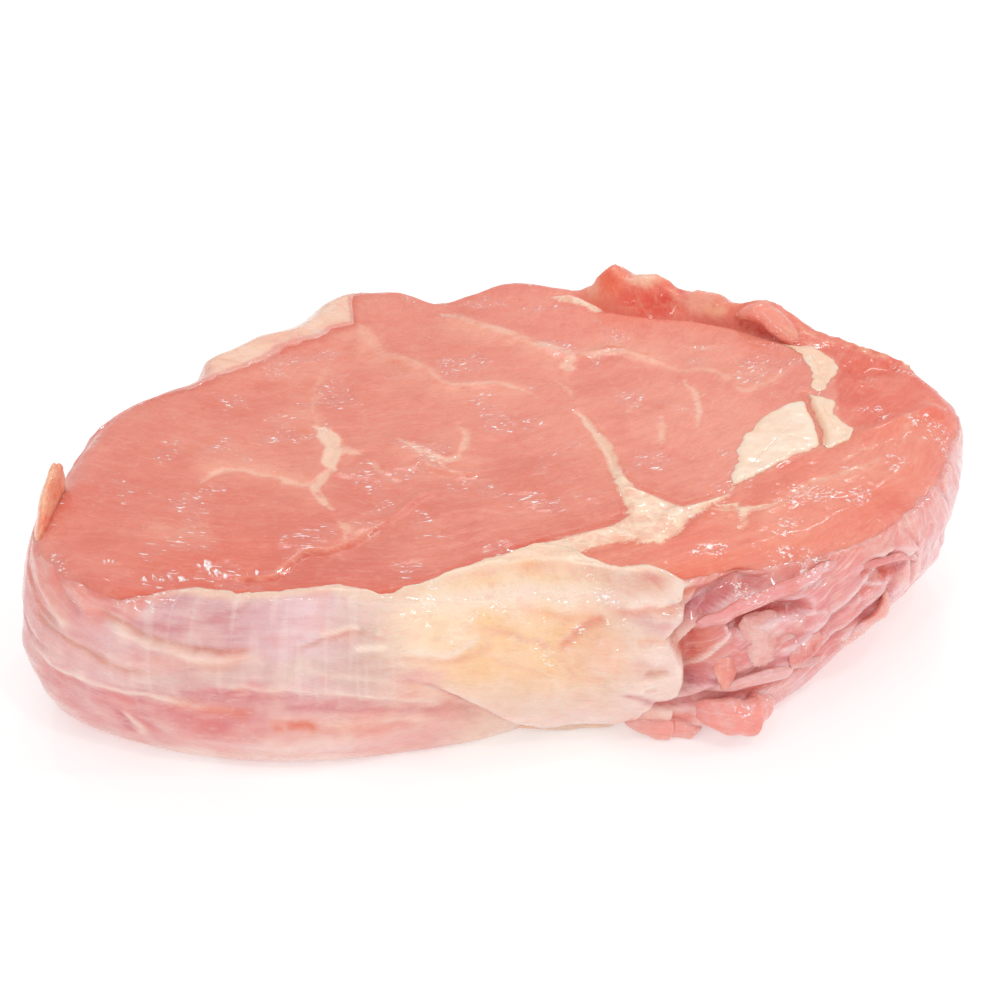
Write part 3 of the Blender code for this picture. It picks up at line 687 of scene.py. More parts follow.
def paintCut(at):
    # the muscle's spots of colour, then layers for the cap, torn step, threads, skin's edge, mottle, flap and rim
    points, flat, degrees, cap = at.points, at.flat, at.degrees, at.cap
    tint = spotColours(meatSpots, at.plan)
    tint += cap[:, None] * (spotColours(capSpots, at.plan) * cutForm["capShade"] - tint)
    step, along, side = nearLine(curveThrough(ledgeForm["line"]), flat, 6.0)
    above, below = (0.5 * tapered(along, 0.1) * hand for hand in (side > 0, side < 0))
    left = band(degrees % 360, 160, 182, 206, 214) * at.top
    right = band(degrees, 298, 304, 364, 376) * at.top
    mottle = fractal(points, 13.0, 3, 71) + 0.5 * fractal(at.flow * [0.4, 1, 1], 5.0, 2, 74)
    paint(
        tint,
        ((228, 122, 106), 0.30 * cap * ease(0.1, -0.7, at.strands)),
        ((248, 178, 158), 0.25 * cap * ease(0.2, 0.9, at.strands)),
        ((224, 104, 94), 0.30 * cap * ease(0.1, 0.6, noise(points, 1.3, 57)) * ease(-8, 4, flat[:, 1])),
        # the torn step: a paler lip above it, a dark band at its foot that is painted shade, and darker flesh over
        # the lower side
        ((241, 172, 146), above * bell(step, 0.9)),
        ((222, 98, 78), below * bell(step, 1.1)),
        ((222, 128, 114), below * bell(step, 6.0)),
        ((248, 182, 158), 0.88 * at.pale),
        ((226, 112, 94), 0.55 * ease(-2.6, -0.6, at.depth) * ease(0.8, 0, cap) * (1 - left)),
        ((238, 162, 152), 0.65 * ease(-9, -0.5, at.depth) * left),
        ((238, 152, 142), 0.55 * ease(-5, -0.5, at.depth) * right),
        ((244, 168, 148), 0.30 * ease(0.0, 0.7, mottle)),
        ((222, 120, 104), 0.30 * ease(0.0, -0.7, mottle)),
    )
    tint *= cutForm["shade"]
    paint(tint, ((242, 138, 118), at.flap * 0.8))
    shaky = points + drift(points, 0.5, 1.8, (65, 66, 67))
    turned = np.degrees(np.arctan2(shaky[:, 1], shaky[:, 0]))
    onFlap = ease(-0.4, 0.6, at.gap) * at.beside * at.top
    for angle, level, halfTurn, halfHigh, colour, strength in flapForm["patches"]:
        near = ((turned - angle) / halfTurn) ** 2 + ((shaky[:, 2] - level) / halfHigh) ** 2
        paint(tint, (colour, strength * np.exp(-(near ** 1.5)) * onFlap))
    at.glow = band(at.edge, -6, -1, 0.5, 3.0) * at.top
    paint(
        tint,
        # on the flap, darker in the torn hollows and paler on the torn crests: partly painted shade and painted
        # highlight
        ((214, 80, 66), at.flap * 0.35 * ease(0.1, -0.5, at.torn)),
        ((251, 196, 168), at.flap * 0.35 * ease(0.3, 0.8, at.torn)),
        ((240, 128, 108), 0.3 * at.glow * (1 - right) * (1 - left)),
        ((249, 206, 170), 0.85 * at.ragged * ease(-0.2, 0.3, noise(points, 2.4, 97))),
    )
    return tint


def wetCut(at):
    # moisture: the spots' bells added up, clouds of noise, and a damp rim
    wet = np.clip(sum(spot(at.flat, middle, spread) for *middle, spread in wetSpots), 0, 1)
    wet = wet + (0.75 - 0.45 * at.cap) * ease(0.1, 0.5, fractal(at.points, 9.0, 3, 91))
    return np.maximum(wet, (0.8 - 0.5 * at.cap) * at.glow * ease(-0.2, 0.3, noise(at.points, 7.0, 95)))


def makeCore():
    # rows of points over both faces and the rim, closed by a point in the middle of each face
    columns = cutForm["columns"]
    turn = turns(columns)
    rows = cutRows(turn)
    at = surfaceAt(np.tile(turn, len(rows)), np.concatenate(rows))
    shapeCut(at)
    fields = {
        "meatTint": paintCut(at), "flow": at.flow, "cap": at.cap, "fat": at.fat + 0.3 * noise(at.points, 1.8, 84),
        "seamAway": at.away, "seamWidth": at.width, "seamPower": at.power, "wet": wetCut(at),
        "gleam": np.max([spot(at.flat, middle, spread) for *middle, spread in gleamSpots], axis=0) * at.top,
    }
    ends = [[[0, 0, faceHeight(np.zeros(1), np.zeros(1))[0]]], [[0, 0, cutForm["lowest"]]]]
    piece = gridPiece("cutMuscle", at.points.reshape(len(rows), -1, 3), ends)
    for name, values in fields.items():
        fields[name] = np.concatenate([values, [values[:columns].mean(0)], [values[-columns:].mean(0)]])
    setFields(piece, fields)
    return piece


core = makeCore()
print("muscle made", len(core.data.polygons))

# the skin, fat and folds round the wall

skinForm = {
    "columns": 1100,
    "outerRows": 80,
    "innerRows": 7,  # the way back inside, hidden in the muscle
    "tuckedUnder": 4.2,
    "innerGap": 5.0,
}

palette = {
    "cream": (252, 223, 194), "creamWhite": (252, 228, 210), "padYellow": (250, 206, 160),
    "padPale": (237, 205, 186), "padPink": (244, 188, 158), "padBlush": (236, 160, 136), "silver": (221, 187, 177),
    "lilac": (218, 168, 170), "lilacWhite": (238, 206, 208), "mauve": (208, 128, 134), "rose": (228, 163, 161),
    "deepRose": (219, 130, 131), "pinkLow": (233, 175, 168), "peach": (236, 176, 150),
    "brownPeach": (214, 146, 120), "membrane": (236, 178, 174), "salmon": (222, 126, 110),
    "foldRed": (224, 108, 86), "lobeOrange": (250, 156, 138), "lobePink": (246, 158, 148),
    "rightRose": (229, 140, 138), "rightPink": (238, 162, 160), "flapRed": (245, 142, 124),
    "padWhite": (240, 208, 198), "deepRed": (202, 84, 72), "backFat": (250, 208, 184), "backPink": (238, 170, 156),
    "pinkLip": (244, 178, 168), "orangeRed": (228, 120, 92),
}

# colours round the wall: angle, upper and lower colour
wallBands = [
    (180, "rose", "deepRose"), (190, "membrane", "rose"), (200, "pinkLow", "rose"), (207, "lilacWhite", "rose"),
    (213, "lilac", "rose"), (222, "lilac", "rose"), (231, "lilacWhite", "pinkLow"), (238, "silver", "pinkLow"),
    (247, "cream", "pinkLow"), (256, "padYellow", "padPale"), (270, "padYellow", "padPale"),
    (281, "padPale", "padPale"), (289, "padPale", "padPale"), (292, "salmon", "mauve"),
    (298, "rightRose", "rightRose"), (306, "rightRose", "rightRose"), (316, "rightPink", "rightRose"),
    (330, "rightPink", "rightPink"), (339, "lilacWhite", "rightPink"), (350, "lilacWhite", "membrane"),
    (372, "backPink", "rose"), (396, "backPink", "pinkLow"), (420, "backPink", "pinkLow"),
    (440, "backFat", "backPink"), (464, "backFat", "padPale"), (500, "backFat", "backPink"),
    (516, "pinkLow", "rose"), (528, "membrane", "rose"), (540, "rose", "deepRose"),
]

# the mauve, salmon, deep red and fold red patches along the right wall's grooves and hollows, near 290 to 322
# degrees, are partly painted shade
wallPatches = [  # angle, height, half-length, half-height, colour, strength
    (219, 22.2, 6, 1.8, "peach", 0.6), (213, 20.6, 6, 2.6, "rose", 0.7), (205, 21, 5, 4, "pinkLow", 0.6),
    (226, 20.4, 8, 2.2, "silver", 0.8), (238, 20, 9, 3.4, "silver", 0.8), (218, 18.6, 6, 1.6, "silver", 0.6),
    (216, 10.4, 8, 3.4, "deepRose", 0.85), (203, 11, 6, 4, "deepRose", 0.6), (224, 16.6, 7, 1.4, "deepRose", 0.7),
    (232, 13.9, 10, 0.9, "rose", 0.8), (240, 9, 12, 2.4, "peach", 0.5), (228, 5, 14, 3.0, "pinkLow", 0.8),
    (246, 6.5, 9, 3.0, "pinkLow", 0.7), (250, 9.4, 8, 1.6, "deepRose", 0.35), (222, 2.4, 16, 1.8, "padWhite", 0.85),
    (248, 18.6, 5, 2.0, "pinkLow", 0.8), (250, 30, 7, 2.6, "cream", 0.9), (262, 31, 9, 2.2, "cream", 0.9),
    (262, 23, 9, 5.0, "padYellow", 0.9), (274, 31, 5, 2.4, "cream", 0.8), (276, 21.8, 4.4, 3.4, "padPink", 0.75),
    (272, 27.4, 4, 2.0, "padPink", 0.4), (282, 30.2, 5, 1.8, "peach", 0.8), (285, 28.4, 3.2, 1.8, "lilac", 0.6),
    (283.5, 22.6, 3.6, 2.6, "creamWhite", 0.7), (268, 10, 12, 5, "padPale", 0.9), (282, 10, 8, 5, "padPale", 0.9),
    (274, 5, 14, 3.6, "padWhite", 0.85), (284, 9, 6, 4, "padWhite", 0.6), (252, 25.6, 3.4, 2.2, "cream", 0.8),
    (285, 16.8, 3, 2.6, "creamWhite", 0.5), (292.4, 21.6, 3.4, 5.4, "salmon", 1.0),
    (290.6, 27, 5, 1.4, "mauve", 0.9), (300, 29.2, 7, 1.0, "mauve", 0.7), (306.5, 22.9, 4.0, 1.4, "deepRed", 0.6),
    (298, 24.2, 3, 1.0, "foldRed", 0.5), (293, 13, 3.4, 3.4, "mauve", 0.9), (289, 9, 4, 2, "rose", 0.9),
    (288, 3.4, 5, 2.4, "lobeOrange", 0.9), (298, 5, 7, 3.2, "lobeOrange", 0.9), (306, 8, 6, 3.4, "lobeOrange", 0.7),
    (309, 18, 5, 4.4, "rightRose", 0.5), (322, 20.6, 3.6, 1.6, "foldRed", 0.7),
    (321, 12, 4.4, 3.4, "lobeOrange", 0.6), (320, 26, 4, 2, "lilacWhite", 0.35), (344, 22, 9, 8, "lilacWhite", 0.3),
    (330, 12, 6, 4, "rose", 0.6), (336, 7, 8, 3, "lobeOrange", 0.5), (283.4, 20.9, 2.6, 3, "rose", 0.35),
    (318.2, 23.4, 3.5, 2.6, "deepRose", 0.65), (321.8, 28, 3.5, 1.8, "deepRose", 0.55),
    (334, 29.5, 4.5, 3, "lilacWhite", 0.6), (313, 5, 3, 2, "lilacWhite", 0.6), (214.8, 26.9, 4, 3, "rose", 0.5),
    (233.5, 5.9, 10, 1.5, "padWhite", 0.8), (284.5, 12, 4, 5, "padWhite", 0.6),
    (287, 20, 2.4, 6, "lilacWhite", 0.4), (352, 7, 9, 4, "backPink", 0.6), (187, 27, 4, 5, "peach", 0.6),
    (200, 4, 9, 2.6, "deepRose", 0.6), (408, 26, 14, 4, "lobeOrange", 0.6), (384, 27, 8, 3, "lobeOrange", 0.5),
    (404, 12, 12, 4, "rose", 0.7), (476, 10, 12, 4, "backPink", 0.6), (450, 26, 8, 3, "cream", 0.7),
    (505, 24, 7, 4, "cream", 0.7),
]

# fine lines on the wall: points, lift, half-width, colour, its strength, and the step of a sheet where one ends there
# grooves mostly take darker colours and ridges paler ones, partly as painted shade and painted highlight
skinLines = [
    # left end and silverskin
    ([(206, 30.2), (209, 29), (212, 27.4), (215, 26), (218, 24.4), (221, 23.8), (226, 23.6)],
     -0.9, 0.5, "brownPeach", 0.75),
    ([(208.6, 28.2), (212, 26.4), (215.4, 25), (218.6, 22.8), (222, 22.4), (227, 23)], 0.5, 0.7, "creamWhite", 0.5),
    ([(204.5, 33), (206.5, 31.8), (209.5, 30.3), (212.5, 28.9), (216, 27.8), (221, 27.6)], -0.7, 0.45, "mauve", 0.5),
    ([(207, 33), (210.5, 31.6), (214.5, 30.2), (220, 29.4)], 0.35, 0.6, "lilacWhite", 0.4),
    ([(201, 33), (204, 31.6), (206, 29.8), (209, 28.6)], 1.0, 0.8, "creamWhite", 0.6),
    ([(198, 32.5), (201, 30.4), (204, 28.4), (206, 26.6)], -1.0, 0.6, "mauve", 0.65),
    ([(194, 32), (198, 28.8), (202, 26), (206, 24.4)], 0.8, 0.9, "creamWhite", 0.45),
    ([(191, 31), (195, 27.2), (199, 24.6), (204, 23.4)], -0.8, 0.6, "brownPeach", 0.5),
    ([(197, 24), (200, 22.6), (204, 22.2), (207.5, 21.9), (211, 20.2), (216, 19.4)], -0.7, 0.5, "brownPeach", 0.6),
    ([(188, 26), (192, 21), (197, 18), (203, 17.8)], -0.7, 0.6, "mauve", 0.5),
    ([(185, 24), (189, 18), (195, 14), (201, 12.6)], 0.7, 0.8, "lilacWhite", 0.5),
    ([(198, 17.4), (202, 15.4), (206, 15.8), (210, 15.4), (214, 15), (218, 13.8), (223, 12.7)],
     0.7, 0.5, "creamWhite", 0.7, 0.5),
    ([(200, 15), (206, 14.2), (212, 13.6), (218, 12.4)], -0.6, 0.7, "deepRose", 0.5),
    ([(208.6, 11), (209.6, 8.4), (209.2, 4.5)], -1.0, 0.6, "mauve", 0.6),
    ([(210.2, 11), (211.2, 8), (211, 4.5)], 0.5, 0.5, "creamWhite", 0.6),
    ([(215, 14), (219.5, 13.2), (225, 12)], 0.0, 1.0, "orangeRed", 0.55),
    ([(213, 11.2), (218, 10.2), (222, 9.2)], 0.0, 1.2, "deepRose", 0.7),
    ([(214, 30.4), (218, 29.2), (223, 28.8)], -0.35, 0.35, "mauve", 0.35),
    ([(219, 29), (222, 30.4), (224.5, 31.6)], -0.35, 0.35, "mauve", 0.35),
    ([(228.5, 23.6), (231.8, 25), (234, 26.2), (237, 27.1), (240, 27.3)], -0.4, 0.4, "brownPeach", 0.6),
    ([(232.4, 26.4), (235, 27.6), (238.6, 27.8)], 0.35, 0.4, "creamWhite", 0.8),
    ([(237.2, 24.3), (239.5, 24.6), (242.6, 24.3)], 0.5, 0.45, "creamWhite", 0.9),
    ([(219, 18.6), (223.5, 17.0), (229.5, 16.6), (237.8, 15.8), (247, 12.6), (251, 10.6)],
     0.3, 0.5, "creamWhite", 0.5, 0.5),
    ([(226, 21.6), (232, 20.4), (240, 18.6), (246, 16.4)], 0.2, 0.5, "creamWhite", 0.35, 0.2),
    ([(225.5, 13.4), (231.8, 13.4), (239.3, 12.6), (245.7, 11.1), (252, 9.6)], -0.5, 0.5, "mauve", 0.5),
    ([(226, 10.4), (229.5, 10.5), (233, 9.6)], -0.3, 0.8, "orangeRed", 0.8),
    ([(231, 11.3), (237.8, 10.3), (243.2, 9.7), (252, 7.4)], 0.3, 0.6, "creamWhite", 0.3),
    ([(214, 6.0), (224, 5.4), (236, 5.2), (246, 4.2)], 0.25, 0.7, "lilacWhite", 0.45),
    # fat pad
    ([(242.8, 23.8), (247, 23.2), (251, 22.2), (253.6, 22.8), (255.4, 24.4), (256, 26.8)],
     0.7, 0.7, "creamWhite", 0.7, 0.4),
    ([(243, 22.4), (248, 21.6), (253, 20.8), (257, 22.4), (258.4, 25.4)], -0.8, 0.7, "padPink", 0.6),
    ([(243.8, 19.1), (248.3, 16.8), (251.6, 13.3), (256.5, 10.4), (260, 7.6), (265, 2.4)], -0.5, 0.5, "mauve", 0.6),
    ([(277.6, 28.6), (276.5, 27.6), (273.6, 26.2), (271.8, 24.2), (269.8, 22)], -1.0, 0.6, "padBlush", 0.8),
    ([(255.5, 26.6), (260, 25.5), (263.5, 24.3), (267, 23), (269.8, 22)], -0.8, 0.6, "padPink", 0.8),
    ([(269.8, 22), (271, 19.4), (273.5, 17.4), (278, 16.6)], -0.6, 0.6, "padPink", 0.6),
    ([(262, 30.6), (266, 28.8), (270.5, 28.0), (274, 28.4)], -0.5, 0.6, "padPink", 0.6),
    ([(258, 20.5), (263, 19.4), (268, 17.2)], -0.4, 0.6, "padPink", 0.5),
    ([(277, 29.8), (280, 30.8), (284, 31.4), (288, 32), (293, 32)], 0.8, 0.8, "peach", 0.6),
    ([(278, 28.8), (281, 29.6), (286, 30.2), (290, 30.4), (295, 29.8)], -0.9, 0.6, "padBlush", 0.8),
    ([(280.6, 24.6), (283.4, 25.6), (286.4, 25.2)], -0.7, 0.6, "padPink", 0.7),
    ([(279.5, 14), (282, 13), (286, 10.4), (290, 8)], -1.3, 0.6, "mauve", 0.7),
    ([(282.5, 14.9), (285.4, 14.4)], -0.3, 0.4, "brownPeach", 0.8),
    ([(282.6, 19.2), (284.3, 18.4), (286.2, 18.8)], -0.5, 0.6, "brownPeach", 0.6),
    # right wall
    ([(278.5, 30.2), (283.2, 30.8), (287.8, 31.2), (289, 31.4), (294.8, 31.5)], 0.7, 0.5, "creamWhite", 0.8, 0.3),
    ([(284.3, 26.4), (288.2, 28.5), (293, 28.4), (298, 29.0), (303, 30.2), (309, 31)],
     0.6, 0.45, "lilacWhite", 0.8, 0.3),
    ([(287, 24.8), (291, 26.4), (296.5, 27.9), (301, 29.0), (305, 29.6)], -0.6, 0.7, "mauve", 0.6),
    ([(289, 27.6), (294, 28.9), (299, 29.9), (305, 30.5)], 0.4, 0.4, "lilacWhite", 0.6),
    ([(293, 24.2), (296.5, 24.4), (300.5, 25.4), (304.5, 26.0), (309, 26.6), (316, 26.6)],
     -0.7, 0.45, "lilacWhite", 0.8),
    ([(296, 22.6), (300, 24.2), (304, 24.8), (309, 24.4)], 0.5, 0.35, "lilacWhite", 0.7),
    ([(300, 21.6), (305, 22.2), (310, 21.4), (313, 20.2)], 0.5, 0.4, "lilacWhite", 0.6),
    ([(290.5, 15.4), (292, 16.8), (295.5, 20.4), (298, 22.2)], 0.5, 0.4, "creamWhite", 0.8),
    ([(293, 13.6), (297, 13.4), (302, 14.6), (308, 14.4), (313, 13.0)], -0.8, 0.6, "mauve", 0.5),
    ([(300, 17.4), (305, 18.6), (310, 17.8), (314, 16.4)], -0.7, 0.5, "mauve", 0.45),
    ([(304, 16.4), (309, 16.6), (314, 15.0)], 0.5, 0.4, "lilacWhite", 0.5),
    ([(295, 10.8), (300.8, 12.4), (306.5, 11.8), (312.8, 9.6), (317, 9)], 0.9, 0.8, "lobeOrange", 0.7),
    ([(306, 14.0), (311, 16.4), (317, 20.0), (322, 24.6), (326, 28)], -0.8, 0.6, "mauve", 0.6),
    ([(305, 15.6), (310, 18.0), (316, 21.4), (321, 26.0), (325, 29.6)], 0.5, 0.45, "lilacWhite", 0.6),
    ([(310, 10.6), (316, 13.4), (322, 17.4), (327, 22.0), (331, 27.0)], -0.8, 0.6, "mauve", 0.6),
    ([(311, 12.6), (317, 15.4), (322, 19.2), (326, 23.4)], 0.5, 0.45, "lilacWhite", 0.5),
    ([(317, 25.4), (320, 24.6), (323.5, 23), (325, 20.4)], -1.0, 0.7, "foldRed", 0.7),
    ([(318.5, 23.2), (320.6, 21.6), (323.0, 20.8)], 0.5, 0.4, "lilacWhite", 0.8),
    ([(319, 27.6), (323, 27.0), (327, 24.8), (330, 21.4)], 0.6, 0.45, "lilacWhite", 0.7),
    ([(326, 30), (328, 26), (329, 21), (328, 15)], -0.9, 0.6, "mauve", 0.5),
    ([(331, 31), (333, 26), (333, 20), (335, 14)], 0.7, 0.5, "lilacWhite", 0.7),
    ([(336, 31.5), (338.5, 26), (338, 19), (341, 12)], -0.9, 0.6, "mauve", 0.5),
    ([(342, 31.8), (343.5, 26), (344, 18), (348, 11)], 0.8, 0.6, "lilacWhite", 0.7),
    ([(350, 31), (351, 24), (353, 16), (354, 9)], -0.9, 0.7, "mauve", 0.5),
    ([(356, 31), (358, 24), (359, 16), (361, 10)], 0.7, 0.7, "lilacWhite", 0.6),
    # far side, which the picture doesn't show
    ([(372, 26), (384, 22), (398, 23), (410, 18)], -0.9, 0.8, "mauve", 0.5, 0.4),
    ([(378, 12), (392, 10), (404, 13), (420, 9)], -0.8, 0.8, "deepRose", 0.5, 0.3),
    ([(408, 27), (424, 24), (438, 25), (452, 20)], 0.6, 0.7, "creamWhite", 0.5, 0.4),
    ([(430, 12), (446, 14), (462, 10), (480, 12)], -0.7, 0.8, "backPink", 0.6, 0.3),
    ([(458, 28), (470, 25), (484, 26), (498, 21)], -0.7, 0.7, "padPink", 0.6, 0.3),
    ([(492, 13), (506, 11), (520, 14), (532, 11)], -0.7, 0.7, "deepRose", 0.5, 0.3),
    ([(504, 28), (516, 24), (528, 25), (537, 21)], 0.6, 0.6, "creamWhite", 0.5, 0.3),
]

skinBumps = [  # angle, height, radius, lift
    (276, 21.8, 3.2, 0.9), (253, 26.4, 2.8, 0.8), (250, 25.6, 1.0, 0.5), (283.4, 22.5, 2.6, 1.1),
    (285.4, 28.0, 2.8, 1.1), (281, 15.6, 3.0, 0.8), (264, 27.8, 3.0, 0.7), (268, 14, 4.0, 0.6),
    (259, 22.6, 2.8, 0.6), (287.6, 18.6, 1.8, 0.6), (271, 30, 2.6, 0.6), (241.2, 27, 0.8, 0.5),
    (321, 12.0, 4.0, 1.3), (325, 17, 2.6, 0.8), (310, 18.5, 2.2, 0.6), (306, 14.6, 2.0, 0.4), (328, 24.6, 2.4, 0.9),
    (337, 23, 2.6, 0.8), (346, 25, 2.8, 0.8), (340, 14, 3.4, 0.9), (354, 13, 3.0, 0.8), (187, 18, 3.4, 0.8),
    (194, 12, 3.6, 0.8), (200, 8, 3.0, 0.7), (182, 9, 3.0, 0.6), (186.5, 15.5, 1.0, 0.8), (184.5, 12.4, 0.8, 0.6),
    (190.5, 8.3, 1.0, 0.7), (188, 10.6, 0.7, 0.6), (194, 4.6, 1.2, 0.7),
]

# values round the wall: angles, then the value at each
wallSlope = ([180, 205, 228, 286, 296, 326, 345, 540], [-0.42, -0.42, 0, 0, 0.5, 0.5, 0.2, 0])
wrinkling = ([180, 200, 236, 262, 288, 296, 330, 372, 540], [0.22, 0.18, 0.08, 0.12, 0.15, 0.18, 0.28, 0.36, 0.38])
fleshAmount = ([180, 200, 213, 217, 290, 295, 345, 372, 540], [1.0, 1.0, 0.8, 0, 0, 1, 0.75, 0.8, 1.0])
fleshReach = ([180, 205, 215, 290, 300, 330, 345, 372, 540], [9, 8, 4, 3, 5, 9, 7, 6, 9])
lineAmount = ([180, 200, 236, 262, 288, 296, 540], [0.55, 0.5, 0.35, 0.35, 0.5, 1.5, 1])


def wallColour(degrees, height):
    # the bands' upper and lower colours, blended round the wall and up it
    angles, upper, lower = zip(*wallBands)
    share = ease(8, 22, height)[:, None]
    mixed = 0
    for names, part in ((upper, share), (lower, 1 - share)):
        colours = np.array([linear(palette[name]) for name in names])
        mixed = mixed + part * np.stack([np.interp(degrees, angles, column) for column in colours.T], 1)
    return mixed


def sheetHeight(degrees, height):
    # height above lines that follow the folds: down to the right at the left end, up to the right beyond the pad
    steps = np.arange(180.0, 541.0)
    return height - np.interp(degrees, steps, np.cumsum(np.interp(steps, *wallSlope)) * wallScale[0])


def skinRelief(at, tint):
    # lines + bumps + wrinkles + lumps + ribs over the main folds; each patch and line also colours the skin, partly
    # with painted shade in grooves and hollows and painted highlight on ridges
    points, degrees, height, places = at.points, at.degrees, at.level, at.places
    wander = places + np.stack([4.0 * at.fold, 1.6 * fractal(points, 6.0, 3, 75)], 1)
    for angle, level, halfLong, halfHigh, colour, strength in wallPatches:
        reach = ((wander - np.array([angle, level]) * wallScale) / [halfLong, halfHigh]) ** 2
        paint(tint, (palette[colour], strength * np.exp(-reach.sum(1) ** 1.3)))
    shaken = places + drift(points, 0.45, 4.0, (3, 4), 2)
    relief = np.zeros(len(degrees))
    gentle = 1 - (0.5 + 0.15 * ease(200, 208, degrees)) * ease(290, 284, degrees)
    gentle = gentle * (1 - 0.35 * band(degrees, 293, 297, 366, 376))
    for line, lift, halfWidth, colour, strength, *step in skinLines:
        away, along, side = nearLine(curveThrough(np.array(line) * wallScale), shaken, 5.0)
        ends = tapered(along, 0.18)
        relief += lift * gentle * ends * bell(away, halfWidth)
        relief += sum(step) * gentle * ends * ease(-0.25, 0.25, side * away) * bell(away, 3.0)
        paint(tint, (palette[colour], strength * ends * bell(away, 1.15 * halfWidth)))
    for angle, level, radius, lift in skinBumps:
        away = ((shaken - np.array([angle, level]) * wallScale) ** 2).sum(1) / radius**2
        relief += lift * np.exp(-(away ** 1.4))
    # wrinkles: folded noise drawn out along the flow of the wall, upright at the far right
    flat = np.zeros(len(degrees))
    lying = ridged(np.stack([places[:, 0] * 0.2, sheetHeight(degrees, height), flat], 1), 3.0, 3, 21)
    upright = ridged(np.stack([places[:, 0], height * 0.25, flat], 1), 3.0, 3, 24)
    calm = band(degrees, 206, 214, 236, 250) * ease(12, 17, height)
    strength = np.interp(degrees, *wrinkling) * (1 - 0.6 * calm) * band(degrees, 182, 188, 532, 538)
    relief += strength * (lying * (1 - at.standing) + upright * at.standing) * (1 - 0.45 * at.pad)
    relief += (0.14 + 0.26 * at.pad + 0.12 * ease(365, 390, degrees)) * fractal(points, 5.0, 3, 11)
    at.ribs = calm * noise(np.stack([places[:, 0], height * 0.07, flat], 1), 0.9, 27)
    return relief + 0.06 * at.ribs


def paintSkin(at, tint, fine, broad):
    # painted highlight on ridges and painted shade in hollows, then layers for the flesh by the rim, the cut edge,
    # the fat, mottle and streaks
    points, degrees, walked, depth, pad = at.points, at.degrees, at.walked, at.depth, at.pad
    right = band(degrees, 290, 298, 364, 376)
    # painted highlight: paler on ridges, and whitish pink on the right
    paint(
        tint,
        ((253, 232, 222), (0.30 * ease(0.05, 0.45, -fine) + 0.15 * ease(0.1, 0.8, -broad)) * (1 - right)),
        ((246, 204, 206), (0.6 * ease(0.03, 0.3, -fine) + 0.3 * ease(0.1, 0.8, -broad)) * right),
    )
    # painted shade: darker in the hollows, less so on the right
    deep = (0.6 * ease(0.05, 0.5, fine) + 0.5 * ease(0.2, 1.1, broad)) * (1 - 0.5 * ease(286, 276, degrees))
    tint *= 1 - (np.clip(deep, 0, 1) * (1 - 0.5 * right))[:, None] * [0.08, 0.38, 0.36]
    along, nothing = at.places[:, 0], 0 * at.places[:, 0]
    grain = noise(np.stack([along * 0.9, at.level * 0.14, nothing], 1), 1.4, 79)
    merging = np.interp(degrees, *fleshAmount)
    flesh = merging * ease(1, 0, (depth + 1.5 * grain + 1.4 * at.fold) / np.interp(degrees, *fleshReach))
    faceFat = ease(1.5, -0.5, walked) * ease(1.0, 2.2, depth)
    back = band(degrees % 360, 85, 95, 180, 195)
    blotches = ease(0.1, 0.6, fractal(points, 6.0, 3, 88)) * (0.35 + 0.15 * back)
    mottle = fractal(points, 7.0, 4, 73)
    streak = noise(np.stack([along * 0.2, at.level, nothing], 1), 1.1, 77)
    paint(
        tint,
        ((237, 142, 130), 0.9 * flesh),
        ((250, 214, 188), 0.75 * ease(2.6, 0.9, walked) * ease(2.6, 1.2, depth) * (1 - merging)),
        ((252, 218, 190), 0.8 * faceFat),
        ((253, 204, 178), 0.8 * faceFat * back),
        ((243, 166, 142), 0.4 * faceFat * blotches),
        ((238, 152, 138), 0.26 * ease(0.0, 0.8, mottle) * (1 - 0.6 * pad)),
        ((252, 222, 206), 0.26 * ease(0.0, -0.8, mottle)),
        ((250, 214, 208), 0.22 * ease(0.2, 0.7, streak)),
        ((214, 120, 116), 0.20 * ease(0.2, 0.8, -streak) * (1 - 0.7 * pad)),
    )


def skinRows(turn):
    # from where the skin starts on the face, rim or wall, down the profile and under the foot, closer at the top
    rimRound, _, length = profileLengths(turn)
    begin = np.interp(wallDegrees(turn) % 360, *zip(*skinReach)) + 1.6
    onRound = rimRound * (np.arccos(np.clip(begin / (math.sqrt(2) * rimRound), -1, 1)) - math.pi / 4)
    start = np.where(begin >= rimRound, rimRound - begin, onRound)
    start = np.where(begin <= -rimRound, rimRound * math.pi / 2 - begin - rimRound, start)
    share = np.linspace(0, 1, skinForm["outerRows"])
    share = 0.5 * share + 0.8 * share**2 - 0.3 * share**3
    return (start + share[:, None] * (length + skinForm["tuckedUnder"] - start)).ravel()


